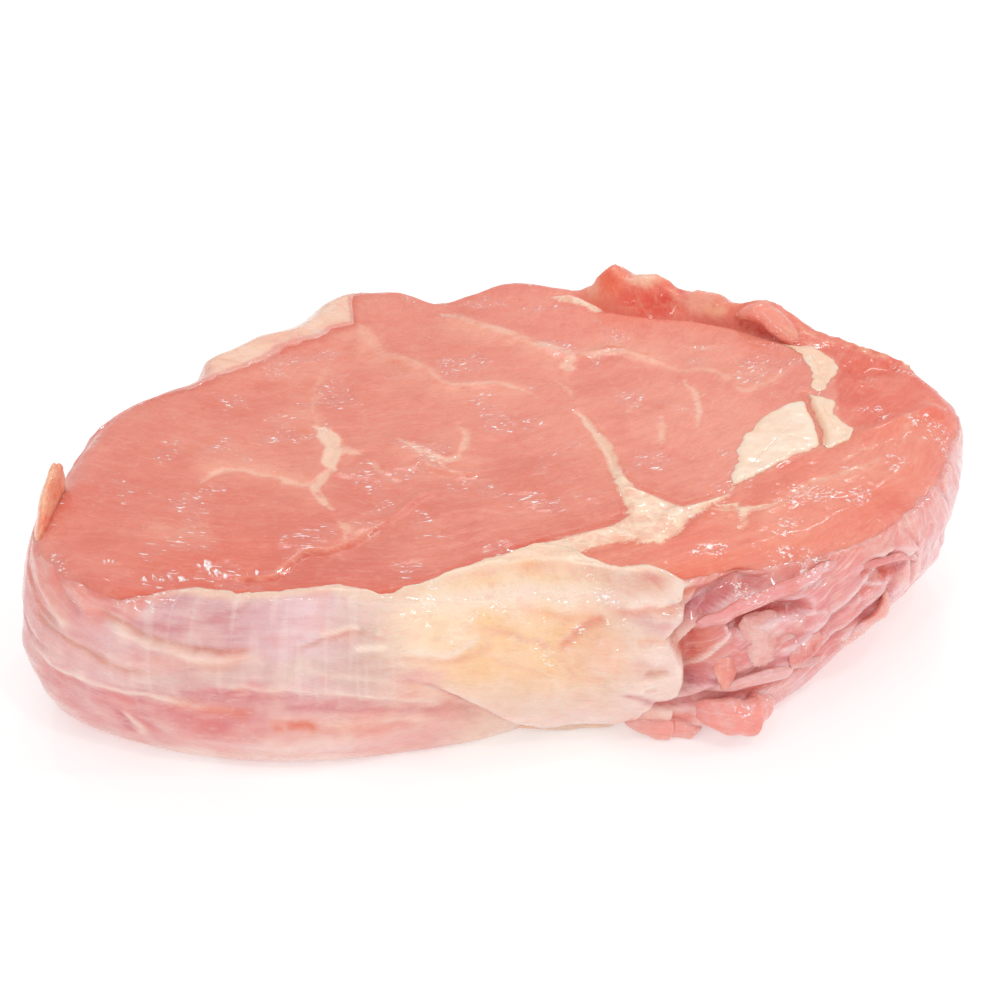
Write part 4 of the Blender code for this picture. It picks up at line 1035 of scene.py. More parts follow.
def makeSkin():
    # a ring round the slice: the outer shell with relief along its normal, and the way back inside
    form = skinForm
    table = (form["outerRows"], form["columns"])
    turn = turns(form["columns"])
    walked = skinRows(turn)
    angle = np.tile(turn, form["outerRows"])
    at = surfaceAt(angle, walked)
    points, degrees, height = at.points, at.degrees, at.level
    at.walked = walked
    at.depth = skinDepth(at)
    at.places = np.stack([degrees, height], 1) * wallScale
    at.fold = fractal(points, 9.0, 3, 71)
    at.pad = padRelief(degrees, height)
    at.standing = band(degrees, 323, 329, 362, 372)
    tint = wallColour(degrees, height)
    paint(tint, ((226, 148, 146), 0.65 * ease(214, 204, degrees) * ease(12, 22, height)))
    relief = skinRelief(at, tint)
    fade = ease(-0.2, 1.6, walked) * ease(0.0, 2.5, height) * at.onWall
    lift = -0.7 + 0.95 * ease(-0.9, 0.25, at.depth)
    lift += 0.16 * fractal(points, 4.0, 3, 87) * ease(1.2, -0.5, walked) * ease(0, 1.5, at.depth)
    points += (relief * fade)[:, None] * polar(1, angle, 0 * angle) + lift[:, None] * at.normal
    points[:, 2] = np.maximum(points[:, 2], 0)
    radius = np.hypot(*points[:, :2].T).reshape(table)
    fine, broad = (hollows(radius, across, down).ravel() * fade for across, down in ((3, 2), (11, 6)))
    paintSkin(at, tint, fine, broad)
    wet = 0.4 + 0.4 * ease(0.0, 0.3, -fine) + 0.6 * ease(0.0, 0.6, at.fold) + 2.0 * sparkle(points)
    shell = points.reshape(*table, 3)
    share = np.linspace(0, 1, form["innerRows"])[:, None]
    innerHeight = 1.5 + share * (np.minimum(shell[0, :, 2], sliceForm["thickness"]) - 10.0)
    innerRadius = radius[8:-8].min(0) - form["innerGap"]
    inside = polar(innerRadius + 0 * innerHeight, turn + 0 * innerHeight, innerHeight)
    piece = gridPiece("outerSkin", np.concatenate([shell, inside]))
    sheet = np.stack([at.places[:, 0], sheetHeight(degrees, height), at.standing], 1)
    lines = np.interp(degrees, *lineAmount)
    fields = {"skinTint": tint, "wet": wet, "ribs": at.ribs, "lines": lines, "sheet": sheet}
    for name, values in fields.items():
        extra = np.repeat(values[:1] * 0 + values.mean(0), form["innerRows"] * form["columns"], axis=0)
        fields[name] = np.concatenate([values, extra])
    setFields(piece, fields)
    return piece


skin = makeSkin()
print("skin made", len(skin.data.polygons))

# islands of fat on the cut face


def makeIsland(name, form, columns=260, topRows=40, sideRows=8):
    # the outline drawn in towards its spine: height = face + rise * (1 - share^8)^(1/2), then straight down
    ring = curveThrough(form["outline"] + form["outline"][:1], 12)[:-1]
    place = np.linspace(0, len(ring), columns, endpoint=False)
    ring = np.stack([np.interp(place, np.arange(len(ring) + 1), np.append(part, part[0])) for part in ring.T], 1)
    ring += drift(np.c_[ring, ring[:, :1] * 0], 0.4, 2.0, (91, 92), 2)
    spine = curveThrough(form["spine"], 20)
    pull = np.exp(-((ring[:, None] - spine[None]) ** 2).sum(2) / 8.0) + 1e-9
    nearest = pull @ spine / pull.sum(1)[:, None]
    share = np.concatenate([
        np.linspace(0.03, 0.9, topRows - 8), np.linspace(0.92, 1, 8), np.ones(sideRows), np.linspace(0.8, 0.2, 4),
    ])
    flat = nearest + (ring - nearest) * share[:, None, None]
    ground = faceHeight(*flat.reshape(-1, 2).T).reshape(len(share), columns)
    rise = form["rise"] * np.sqrt(np.clip(1 - share**8, 0, 1))
    root = form["root"]
    sink = np.concatenate([np.zeros(topRows), np.linspace(0, root, sideRows + 1)[1:], np.full(4, root)])
    points = np.concatenate([flat, (ground + (rise - sink)[:, None])[..., None]], 2)
    lumps = 0.20 * fractal(points.reshape(-1, 3), 6.0, 3, 95).reshape(ground.shape)
    points[..., 2] += lumps * ((share < 1) * (sink == 0) * (1 - share**6))[:, None]
    ends = [points[0].mean(0), points[-1].mean(0)]
    piece = gridPiece(name, points, [[end] for end in ends])
    whole = np.vstack([points.reshape(-1, 3), *ends])
    tint = np.tile(linear(form["colour"]), (len(whole), 1))
    cloud = fractal(whole, 5.0, 3, 97)
    rows = np.append(np.repeat(share * (sink == 0) + (sink > 0), columns), [0, 1])
    paint(
        tint,
        ((249, 204, 174), 0.4 * ease(0.0, 0.8, cloud)),
        ((254, 236, 218), 0.5 * ease(0.0, 0.7, -cloud)),
        ((248, 196, 168), 0.4 * ease(0.93, 1.0, rows)),
    )
    setFields(piece, {"skinTint": tint, "wet": 0.35 + 0.6 * ease(0.1, 0.6, fractal(whole, 6.0, 2, 94))})
    return piece


islandPieces = [makeIsland(name, form) for name, form in islandForms.items()]

# strands and lobes that lie on the wall and on the cut face

smallPieceLines = 0.8  # how strongly fibrous lines show on strands and leaves

# path as (angle, height, outward) on the wall or (x, y, upward) on the face; half-width, half-depth, colours
strandForms = {
    "foldStrand": {
        "path": [(290.6, 23.0, -0.8), (293, 25.2, 0.5), (297, 27.0, 1.0), (302, 27.8, 1.1), (307, 28.6, 0.9),
                 (312, 28.8, 0.3), (316, 28.4, -0.6)],
        "half": (1.5, 0.8), "colours": ("rightPink", "salmon", "lilacWhite"), "seed": 131, "wet": 1.0,
    },
    "lowLobe": {
        "path": [(293, 7.0, -0.6), (295.5, 6.8, 0.9), (299, 6.0, 1.2), (303, 5.2, 0.9), (307, 4.6, -0.6)],
        "half": (3.3, 2.4), "colours": ("lobePink", "pinkLip", "lilacWhite"), "seed": 132, "wet": 1.0,
    },
    "footLobe": {
        "path": [(284.5, 3.0, -0.4), (288, 2.8, 0.8), (292, 2.4, 0.8), (296, 2.0, -0.3)],
        "half": (2.4, 1.9), "colours": ("pinkLip", "lobePink", "lilacWhite"), "seed": 133, "wet": 1.0,
    },
    "lowRidge": {
        "path": [(294, 10.6, -0.5), (297, 12.0, 0.5), (301.5, 12.8, 0.8), (306.5, 11.8, 0.8), (312, 9.8, 0.6),
                 (318, 9.0, -0.4)],
        "half": (1.2, 0.8), "colours": ("membrane", "salmon", "lilacWhite"), "seed": 134, "wet": 1.0,
    },
    "rightLobe": {
        "path": [(318.5, 7.5, -0.5), (320.0, 11.0, 0.9), (322.0, 15.0, 1.1), (324, 18.6, -0.2)],
        "half": (2.4, 1.2), "colours": ("pinkLip", "salmon", "lilacWhite"), "seed": 135, "wet": 1.0,
    },
    "loopStrand": {
        "path": [(317, 26.6, -0.3), (320, 26.2, 0.6), (324, 25.0, 0.7), (328, 22.6, 0.4), (331, 19.0, -0.4)],
        "half": (0.8, 0.6), "colours": ("rightRose", "salmon", "pinkLip"), "seed": 144, "wet": 1.0,
    },
    "padShreds": {
        "path": [(262, 3.0, -0.4), (268, 1.8, 0.4), (275, 1.4, 0.5), (282, 1.6, 0.2), (287, 2.0, -0.5)],
        "half": (1.0, 0.7), "colours": ("padPale", "padPink", "creamWhite"), "seed": 146, "wet": 0.8,
    },
    "flapLobe": {
        "path": [(50.8, 28.4, -1.1), (53.0, 26.2, -0.6), (55.6, 23.6, -0.5), (58.0, 21.0, -0.6),
                 (60.4, 18.4, -1.1)],
        "half": (2.9, 1.8), "colours": ("lobeOrange", "flapRed", "padPink"), "seed": 155, "wet": 1.0, "onFace": True,
    },
}


def wallPoint(degrees, height, outward):
    # a place on the wall from its angle and height; outward moves it away from the slice
    angle = np.radians(degrees)
    rimRound = profileLengths(angle)[0]
    foot, thickness = sliceForm["footRound"], sliceForm["thickness"]
    depth = thickness - height
    over = rimRound * np.arccos(np.clip(1 - depth / rimRound, 0, 1))
    low = np.clip((depth - (thickness - foot)) / foot, 0, 1)
    walked = np.where(depth < rimRound, over, rimRound * (math.pi / 2 - 1) + np.minimum(depth, thickness - foot))
    return surfaceAt(angle, walked + foot * np.arcsin(low)).points + polar(outward, angle, angle * 0)


def unit(vectors):
    # each vector divided by its length
    return vectors / np.linalg.norm(vectors, axis=-1)[..., None]


def makeStrand(name, form, columns=56, rows=220):
    # a swept rounded section: half-sizes times (1 - |2 t - 1|^2.1)^(1/2) along the path, with folded noise on it
    path = curveThrough(form["path"], 24)
    part = np.linspace(0, len(path) - 1, rows + 2)
    spots = np.stack([np.interp(part, np.arange(len(path)), column) for column in path.T], 1)
    if form.get("onFace"):
        middle = np.stack([*spots[:, :2].T, faceHeight(*spots[:, :2].T) + spots[:, 2]], 1)
        out = np.tile([0.0, 0.0, 1.0], (len(spots), 1))
    else:
        middle = wallPoint(*spots.T)
        out = polar(1, np.radians(spots[:, 0]), 0 * spots[:, 0])
    up = unit(np.cross(unit(np.gradient(middle, axis=0)), out))
    share = np.linspace(0, 1, rows + 2)
    size = np.sqrt(np.clip(1 - np.abs(2 * share - 1) ** 2.1, 0, 1))
    size = size * (1 + 0.14 * noise(np.stack([share * 12, share * 0, share * 0], 1), 1.6, form["seed"]))
    turn = np.linspace(0, math.tau, columns, endpoint=False)
    halfWide, halfDeep = form["half"]
    side = up[:, None] * (halfWide * np.cos(turn))[None, :, None]
    front = out[:, None] * (halfDeep * np.sin(turn))[None, :, None]
    offset = (side + front) * size[:, None, None]
    whole = (middle[:, None] + offset).reshape(-1, 3)
    slow = np.stack([
        np.repeat(share * len(path) * 0.12, columns),
        np.cos(np.tile(turn, rows + 2)) * halfWide,
        np.sin(np.tile(turn, rows + 2)) * halfDeep,
    ], 1)
    folds = 0.2 * ridged(slow * [0.5, 1, 1], 2.2, 2, form["seed"] + 1) + fractal(whole, 5.0, 2, form["seed"] + 2)
    normal = (offset / np.maximum(np.linalg.norm(offset, axis=2), 1e-6)[..., None]).reshape(-1, 3)
    height = 0.10 * min(form["half"]) * folds * np.repeat(np.minimum(size, 1), columns)
    whole = whole + normal * height[:, None]
    whole[:, 2] = np.maximum(whole[:, 2], 0.05)
    tube = whole.reshape(rows + 2, columns, 3)
    piece = gridPiece(name, tube[1:-1], [[tube[0].mean(0)], [tube[-1].mean(0)]])
    kept = tube[1:-1].reshape(-1, 3)
    crest = folds.reshape(rows + 2, columns)[1:-1].ravel()
    upper, lower, pale = (palette[colour] for colour in form["colours"])
    tint = np.tile(linear(upper), (len(kept), 1))
    # the lower colour on the side that faces the wall; paler on the folds' crests and darker in their hollows, partly
    # painted highlight and painted shade
    paint(
        tint,
        (lower, 0.75 * ease(0.55, -0.2, np.tile(np.sin(turn), rows))),
        (pale, 0.2 * ease(0.25, 0.9, crest) + 0.4 * ease(0.1, 0.7, fractal(kept, 4.0, 2, form["seed"] + 4))),
        (lower, 0.5 * ease(0.0, -0.7, crest)),
    )
    reach = np.linspace(0, np.linalg.norm(np.diff(middle, axis=0), axis=1).sum(), rows)
    lengths = np.repeat(reach, columns)
    sheet = np.stack([lengths, np.tile(turn * max(form["half"]), rows), lengths * 0], 1)
    setFields(piece, {
        "skinTint": np.vstack([tint, tint[:1], tint[-1:]]),
        "wet": form["wet"] + 2.0 * sparkle(np.vstack([kept, kept[:2]])),
        "sheet": np.vstack([sheet, sheet[:1], sheet[-1:]]),
        "lines": np.full(len(sheet) + 2, smallPieceLines),
    })
    return piece


strandPieces = [makeStrand(name, form) for name, form in strandForms.items()]
print("islands and strands made")

leafForms = {  # angle and height of the middle, half-sizes, reach beyond the rim, lean, taper, bend and colours
    "sideTongue": {"at": (188, 28.6), "half": (7.6, 1.5, 10.6), "reach": 1.5, "lean": 14, "taper": 0.45, "bend": 2,
                   "seed": 101, "colours": ((250, 180, 148), (244, 134, 100), (253, 210, 180))},
    "greyShred": {"at": (303, 18.2), "half": (5.0, 0.9, 4.6), "reach": 3.5, "lean": -30, "taper": -0.5, "bend": 1,
                  "seed": 111, "colours": ((234, 172, 164), (222, 138, 132), (245, 206, 198))},
    "pinkShred": {"at": (297, 15.8), "half": (2.4, 1.1, 4.2), "reach": 3.45, "lean": -12, "taper": -0.4, "bend": 1,
                  "seed": 121, "colours": ((240, 158, 144), (226, 126, 116), (249, 206, 192))},
    "darkShred": {"at": (309, 15.0), "half": (2.6, 0.9, 3.6), "reach": 3.3, "lean": -50, "taper": -0.3, "bend": 1,
                  "seed": 161, "colours": ((232, 150, 142), (208, 100, 100), (246, 208, 204))},
}


def makeLeaf(name, form, columns=160, rows=100):
    # a ball pressed flat into a leaf with a ragged outline, leaning, bent inward at the top, laid on the wall
    turn = np.linspace(0, math.tau, columns, endpoint=False)
    tilt = np.linspace(0, math.pi, rows + 2)[1:-1]
    flatness = np.sin(tilt)[:, None]
    poleward = np.repeat(np.cos(tilt)[:, None], columns, 1)
    ball = np.stack([flatness * np.cos(turn), flatness * np.sin(turn), poleward], -1)
    ball = np.concatenate([ball.reshape(-1, 3), [[0, 0, 1.0], [0, 0, -1.0]]])
    phase = np.arctan2(ball[:, 2], ball[:, 0])
    ringPlaces = polar(1, phase, 0 * phase) * 6
    ragged = 1 + 0.12 * fractal(ringPlaces, 2.6, 3, form["seed"]) * np.hypot(ball[:, 0], ball[:, 2]) ** 2
    ball[:, 0] *= (1 - form["taper"] * ball[:, 2]) * ragged
    along, outward, upward = (ball * form["half"]).T
    upward = upward * ragged
    sheet = np.stack([along * 0.5, upward, outward * 0], 1)
    wrinkles = 0.35 * fractal(sheet, 4.0, 3, form["seed"] + 5) + 0.08 * ridged(sheet, 1.8, 2, form["seed"] + 8)
    lean = math.radians(form["lean"])
    along, upward = along * math.cos(lean) - upward * math.sin(lean), along * math.sin(lean) + upward * math.cos(lean)
    middle = np.array([math.radians(form["at"][0])])
    angle = middle + along / rimRadius(middle)
    radius = rimRadius(angle) + form["reach"] + (outward + wrinkles) - form["bend"] * ball[:, 2]
    points = polar(radius, angle, np.maximum(form["at"][1] + upward, 0.05))
    piece = gridPiece(name, points[:-2].reshape(rows, columns, 3), [points[-2:-1], points[-1:]])
    base, dark, pale = form["colours"]
    tint = np.tile(linear(base), (len(points), 1))
    cloud = fractal(points, 4.0, 3, form["seed"] + 3)
    # darker where the cloud is high and paler where it is low; darker in the wrinkles' hollows and paler on their
    # crests, partly painted shade and painted highlight
    paint(
        tint,
        (dark, 0.7 * ease(0.0, 0.6, cloud) + 0.4 * ease(0.0, -0.5, wrinkles)),
        (pale, 0.6 * ease(0.1, 0.6, wrinkles) + 0.4 * ease(0.1, 0.6, -cloud)),
    )
    setFields(piece, {
        "skinTint": tint, "wet": 0.9 + 2.0 * sparkle(points),
        "sheet": np.stack([upward, along, along * 0], 1), "lines": np.full(len(points), smallPieceLines),
    })
    return piece


leafPieces = [makeLeaf(name, form) for name, form in leafForms.items()]
print("leaves made")

# shader helpers: each adds a node to the tree and gives its output


def feed(tree, socket, value):
    # a socket is linked; a colour or number becomes the socket's own value
    if isinstance(value, bpy.types.NodeSocket):
        tree.links.new(value, socket)
    elif isinstance(value, tuple) and len(value) == 3 and socket.type == "RGBA":
        socket.default_value = (*value, 1.0)
    else:
        socket.default_value = value


def addNode(tree, kind, inputs=None, **settings):
    # a node of one kind with its settings and inputs
    node = tree.nodes.new(kind)
    for key, value in settings.items():
        setattr(node, key, value)
    for key, value in (inputs or {}).items():
        feed(tree, node.inputs[key], value)
    return node


def calc(tree, operation, first, second, clamp=False):
    # first and second joined by one operation
    node = addNode(tree, "ShaderNodeMath", {0: first, 1: second}, operation=operation, use_clamp=clamp)
    return node.outputs[0]


def times(tree, first, second, clamp=False):
    # first * second
    return calc(tree, "MULTIPLY", first, second, clamp)


def summed(tree, *terms):
    # the sum of the terms, each a value or a value and its weight
    total = None
    for term in terms:
        part = times(tree, *term) if isinstance(term, tuple) else term
        total = part if total is None else calc(tree, "ADD", total, part)
    return total


def mixColour(tree, amount, first, second):
    # first + amount * (second - first)
    return addNode(tree, "ShaderNodeMix", {0: amount, 6: first, 7: second}, data_type="RGBA").outputs[2]


def smooth(tree, value, low, high, bottom=0.0, top=1.0):
    # a smooth step from bottom to top while the value goes from low to high
    inputs = dict(enumerate((value, low, high, bottom, top)))
    return addNode(tree, "ShaderNodeMapRange", inputs, interpolation_type="SMOOTHSTEP").outputs[0]


def noiseNode(tree, vector, scale, detail=2.0, rough=0.55, distortion=0.0):
    # cloudy noise from 0 to 1
    inputs = {"Vector": vector, "Scale": scale, "Detail": detail, "Roughness": rough, "Distortion": distortion}
    return addNode(tree, "ShaderNodeTexNoise", inputs).outputs[0]


def scaled(tree, vector, scale):
    # the vector times a scale for each direction
    return addNode(tree, "ShaderNodeVectorMath", {0: vector, 1: scale}, operation="MULTIPLY").outputs[0]


def readField(tree, name, output="Fac"):
    # the piece's own value at each point
    return addNode(tree, "ShaderNodeAttribute", attribute_name=name).outputs[output]


def rgb(colour):
    # a seen colour as a shader's colour
    return tuple(float(part) for part in linear(colour))


# effects that the materials share


def newGroup(name, inputs, outputs):
    # an empty node group with its sockets, each a name and a kind
    tree = bpy.data.node_groups.new(name, "ShaderNodeTree")
    for direction, sockets in (("INPUT", inputs), ("OUTPUT", outputs)):
        for socketName, kind in sockets.items():
            tree.interface.new_socket(socketName, in_out=direction, socket_type="NodeSocket" + kind)
    return tree, addNode(tree, "NodeGroupInput").outputs, addNode(tree, "NodeGroupOutput").inputs


def useGroup(tree, group, inputs):
    # a shared effect with its inputs
    return addNode(tree, "ShaderNodeGroup", inputs, node_tree=group).outputs


def makeFibreGroup():
    # cut muscle: long low streaks and short pale dashes along the flow. Shade is from -1 to 1, Height from 0 to 1
    tree, given, taken = newGroup(
        "muscleFibres", {"Flow": "Vector"}, {"Shade": "Float", "Dash": "Float", "Height": "Float"},
    )
    streaks, dashes, broad = (
        noiseNode(tree, scaled(tree, given["Flow"], (drawnOut, 1.0, 1.0)), *shape)
        for drawnOut, *shape in ((0.26, 1.0, 4.0, 0.6, 1.8), (0.32, 2.0, 1.0, 0.6, 0.8), (0.22, 0.34, 2.0, 0.6, 1.6))
    )
    both = summed(tree, (streaks, 0.55), (broad, 0.45))
    feed(tree, taken["Shade"], smooth(tree, both, 0.36, 0.64, -1.0, 1.0))
    feed(tree, taken["Dash"], smooth(tree, dashes, 0.63, 0.72))
    feed(tree, taken["Height"], summed(tree, (streaks, 0.6), (dashes, 0.4)))
    return tree


def makeWetGroup():
    # moisture: bumps that catch the light, gathered in clusters. Height bumps, Wet says how wet a place is
    tree, given, taken = newGroup(
        "wetFilm", {"Vector": "Vector", "Amount": "Float"}, {"Height": "Float", "Wet": "Float"},
    )
    clusters = noiseNode(tree, given["Vector"], 170.0, 1.0, 0.5, 0.4)
    wet = smooth(tree, summed(tree, clusters, (given["Amount"], 0.35)), 0.60, 0.86)
    beads = noiseNode(tree, given["Vector"], 1200.0, 0.0, 0.5, 0.3)
    feed(tree, taken["Height"], times(tree, smooth(tree, beads, 0.35, 0.75), wet))
    feed(tree, taken["Wet"], wet)
    return tree


def makeMottleGroup():
    # soft patches and fine grain laid over a colour: paler where the cloud is high, deeper where it is low
    tree, given, taken = newGroup(
        "softMottle",
        {"Vector": "Vector", "Colour": "Color", "Pale": "Color", "Deep": "Color", "Strength": "Float"},
        {"Colour": "Color", "Height": "Float"},
    )
    cloud = noiseNode(tree, given["Vector"], 420.0, 4.0, 0.68, 0.4)
    pale = times(tree, smooth(tree, cloud, 0.52, 0.70), given["Strength"])
    deep = times(tree, smooth(tree, cloud, 0.48, 0.30), given["Strength"])
    paler = mixColour(tree, pale, given["Colour"], given["Pale"])
    feed(tree, taken["Colour"], mixColour(tree, deep, paler, given["Deep"]))
    feed(tree, taken["Height"], cloud)
    return tree


fibreGroup = makeFibreGroup()
wetGroup = makeWetGroup()
mottleGroup = makeMottleGroup()
print("shared effects made")

# materials

wetFlesh = {
    "IOR": 1.38,
    "Subsurface Radius": (1.0, 0.35, 0.22),
    "Subsurface Scale": 0.003,
    "Coat Roughness": 0.11,
    "Coat IOR": 1.4,
}


def newMaterial(name, own):
    # a wet material with subsurface light: its tree, its shader and the place on the piece
    material = bpy.data.materials.new(name)
    material.use_nodes = True
    tree = material.node_tree
    shader = tree.nodes["Principled BSDF"]
    for key, value in {**wetFlesh, **own}.items():
        shader.inputs[key].default_value = value
    return material, tree, shader, addNode(tree, "ShaderNodeTexCoord").outputs["Object"]


def finishMaterial(tree, shader, colour, coat, height, distance):
    # the colour, the coat of moisture and the bump go to the shader
    bump = addNode(tree, "ShaderNodeBump", {"Height": height, "Distance": distance, "Strength": 1.0}).outputs[0]
    for key, value in {"Base Color": colour, "Coat Weight": coat, "Normal": bump}.items():
        tree.links.new(value, shader.inputs[key])


meatLook = {
    "shader": {"Subsurface Weight": 0.18, "Roughness": 0.40},
    "colours": {
        "seam": (250, 208, 184), "fatPale": (252, 222, 196), "fatDeep": (246, 194, 170), "pale": (250, 184, 162),
        "deep": (214, 104, 86), "dash": (255, 214, 196), "glint": (255, 255, 255),
    },
    "streak": 0.12,
    "mottle": 0.18,
    "dashStrength": 0.14,
    "bump": 0.0003,
}


def makeMeatMaterial():
    # muscle with fibres, then fat threads and fat over it, then glints; the coat is thinner on the cap
    look = meatLook
    seam, fatPale, fatDeep, paleMeat, deepMeat, dash, glint = (rgb(colour) for colour in look["colours"].values())
    material, tree, shader, where = newMaterial("cutVeal", look["shader"])
    names = ("fat", "cap", "wet", "seamAway", "seamWidth", "seamPower", "gleam")
    fat, cap, wetness, away, width, power, gleam = (readField(tree, name) for name in names)
    grain = noiseNode(tree, where, 1500.0, 3.0, 0.7)
    fray = times(tree, calc(tree, "SUBTRACT", grain, 0.5), 1.6)
    fibres = useGroup(tree, fibreGroup, {"Flow": readField(tree, "flow", "Vector")})
    soft = useGroup(tree, mottleGroup, {
        "Vector": where, "Colour": readField(tree, "meatTint", "Color"), "Pale": paleMeat, "Deep": deepMeat,
        "Strength": look["mottle"],
    })
    strength = calc(tree, "ADD", look["streak"], times(tree, cap, 0.02))
    light = times(tree, fibres["Shade"], strength, True)
    dark = times(tree, times(tree, fibres["Shade"], -1.0), strength, True)
    meat = mixColour(tree, light, soft["Colour"], paleMeat)
    meat = mixColour(tree, dark, meat, deepMeat)
    meat = mixColour(tree, times(tree, fibres["Dash"], look["dashStrength"]), meat, dash)
    # fat threads with ragged, broken edges
    gap = calc(tree, "SUBTRACT", summed(tree, away, (fray, 0.5)), width)
    patchy = smooth(tree, summed(tree, soft["Height"], (power, 0.35)), 0.45, 0.75)
    thread = times(tree, times(tree, smooth(tree, gap, 0.45, -0.45), power), patchy)
    meat = mixColour(tree, thread, meat, seam)
    fatColour = mixColour(tree, smooth(tree, soft["Height"], 0.36, 0.60), fatDeep, fatPale)
    meat = mixColour(tree, smooth(tree, summed(tree, fat, fray), -0.35, 0.35), meat, fatColour)
    # glints: on the dashes, as fine beads on the cap, and short and upright by the rim
    wet = useGroup(tree, wetGroup, {"Vector": where, "Amount": wetness})
    onDashes = times(tree, fibres["Dash"], smooth(tree, wet["Wet"], 0.2, 0.7, 0.0, 0.85))
    beads = smooth(tree, noiseNode(tree, where, 1900.0, 0.0, 0.5, 0.6), 0.62, 0.70)
    beads = times(tree, times(tree, beads, cap), smooth(tree, wet["Wet"], 0.0, 0.5, 0.0, 0.6))
    drawnOut = noiseNode(tree, scaled(tree, where, (1.0, 0.30, 0.3)), 1250.0, 1.0, 0.5, 0.5)
    upright = times(tree, smooth(tree, drawnOut, 0.52, 0.60), smooth(tree, gleam, 0.15, 0.7, 0.0, 0.95))
    for amount in (onDashes, beads, upright):
        meat = mixColour(tree, amount, meat, glint)
    coat = smooth(tree, wet["Wet"], 0.0, 1.0, 0.3, 1.0)
    coat = times(tree, coat, calc(tree, "SUBTRACT", 1.0, times(tree, cap, 0.55)))
    height = summed(tree, (fibres["Height"], 0.5), (grain, 0.22), (soft["Height"], 0.6),
                    (times(tree, grain, cap), 0.3), (wet["Height"], 0.22))
    finishMaterial(tree, shader, meat, coat, height, look["bump"])
    return material


skinLooks = {
    "membraneAndFat": {
        "shader": {"Subsurface Weight": 0.22, "Roughness": 0.38},
        "pale": (253, 230, 220), "deep": (226, 140, 130), "mottle": 0.16,
        "stretch": (1.0, 1.0, 2.0), "bump": 0.0004,
    },
    "creamFat": {
        "shader": {"Subsurface Weight": 0.25, "Roughness": 0.38},
        "pale": (254, 238, 222), "deep": (248, 198, 168), "mottle": 0.12,
        "stretch": (1.0, 1.0, 1.0), "bump": 0.0002,
    },
}


def makeSkinMaterial(name, look):
    # the piece's tint with mottle, then ribs, fibrous lines and painted glints over it; the coat is thicker where it
    # is wet
    material, tree, shader, where = newMaterial(name, look["shader"])
    deep = rgb(look["deep"])
    drawn = scaled(tree, where, look["stretch"])
    soft = useGroup(tree, mottleGroup, {
        "Vector": drawn, "Colour": readField(tree, "skinTint", "Color"), "Pale": rgb(look["pale"]), "Deep": deep,
        "Strength": look["mottle"],
    })
    ribs = times(tree, smooth(tree, readField(tree, "ribs"), 0.05, 0.5), 0.2)
    # lines lie along the folds, or stand upright where the sheet's third value says so
    sheet = readField(tree, "sheet", "Vector")
    lying, upright = (
        noiseNode(tree, scaled(tree, sheet, stretch), 1.3, 4.0, 0.65, 0.8)
        for stretch in ((0.12, 1.0, 0.0), (1.0, 0.15, 0.0))
    )
    split = addNode(tree, "ShaderNodeSeparateXYZ", {0: sheet}).outputs[2]
    line = addNode(tree, "ShaderNodeMix", {0: split, 2: lying, 3: upright}, data_type="FLOAT").outputs[0]
    wetness, amountOfLines = readField(tree, "wet"), readField(tree, "lines")
    wet = useGroup(tree, wetGroup, {"Vector": drawn, "Amount": wetness})
    paintedGlints = smooth(tree, noiseNode(tree, drawn, 1300.0, 1.0, 0.6, 1.0), 0.57, 0.66)
    paintedGlints = times(tree, paintedGlints, smooth(tree, wetness, 1.2, 2.2, 0.0, 0.85))
    # the fibrous lines: paler crests and darker troughs, partly painted highlight and painted shade
    crest = times(tree, smooth(tree, line, 0.52, 0.70, 0.0, 0.28), amountOfLines)
    trough = times(tree, smooth(tree, line, 0.46, 0.30, 0.0, 0.28), amountOfLines)
    colour = soft["Colour"]
    for amount, layer in ((ribs, rgb((248, 226, 218))), (crest, rgb((252, 228, 222))), (trough, deep),
                          (paintedGlints, rgb((255, 252, 250)))):
        colour = mixColour(tree, amount, colour, layer)
    wrinkles = noiseNode(tree, drawn, 1100.0, 2.0, 0.6, 0.4)
    height = summed(tree, (soft["Height"], 0.6), (wrinkles, 0.3), (times(tree, line, 0.5), amountOfLines),
                    (wet["Height"], 0.2))
    finishMaterial(tree, shader, colour, smooth(tree, wet["Wet"], 0.0, 1.0, 0.5, 1.0), height, look["bump"])
    return material


core.data.materials.append(makeMeatMaterial())
skinLook, fatLook = (makeSkinMaterial(name, look) for name, look in skinLooks.items())
for piece in [skin, *strandPieces, *leafPieces]:
    piece.data.materials.append(skinLook)
for piece in islandPieces:
    piece.data.materials.append(fatLook)
print("materials made")

for piece in [core, skin, *islandPieces, *strandPieces, *leafPieces]:
    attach(piece, "root")
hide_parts("entrecote")

# floor, light and camera

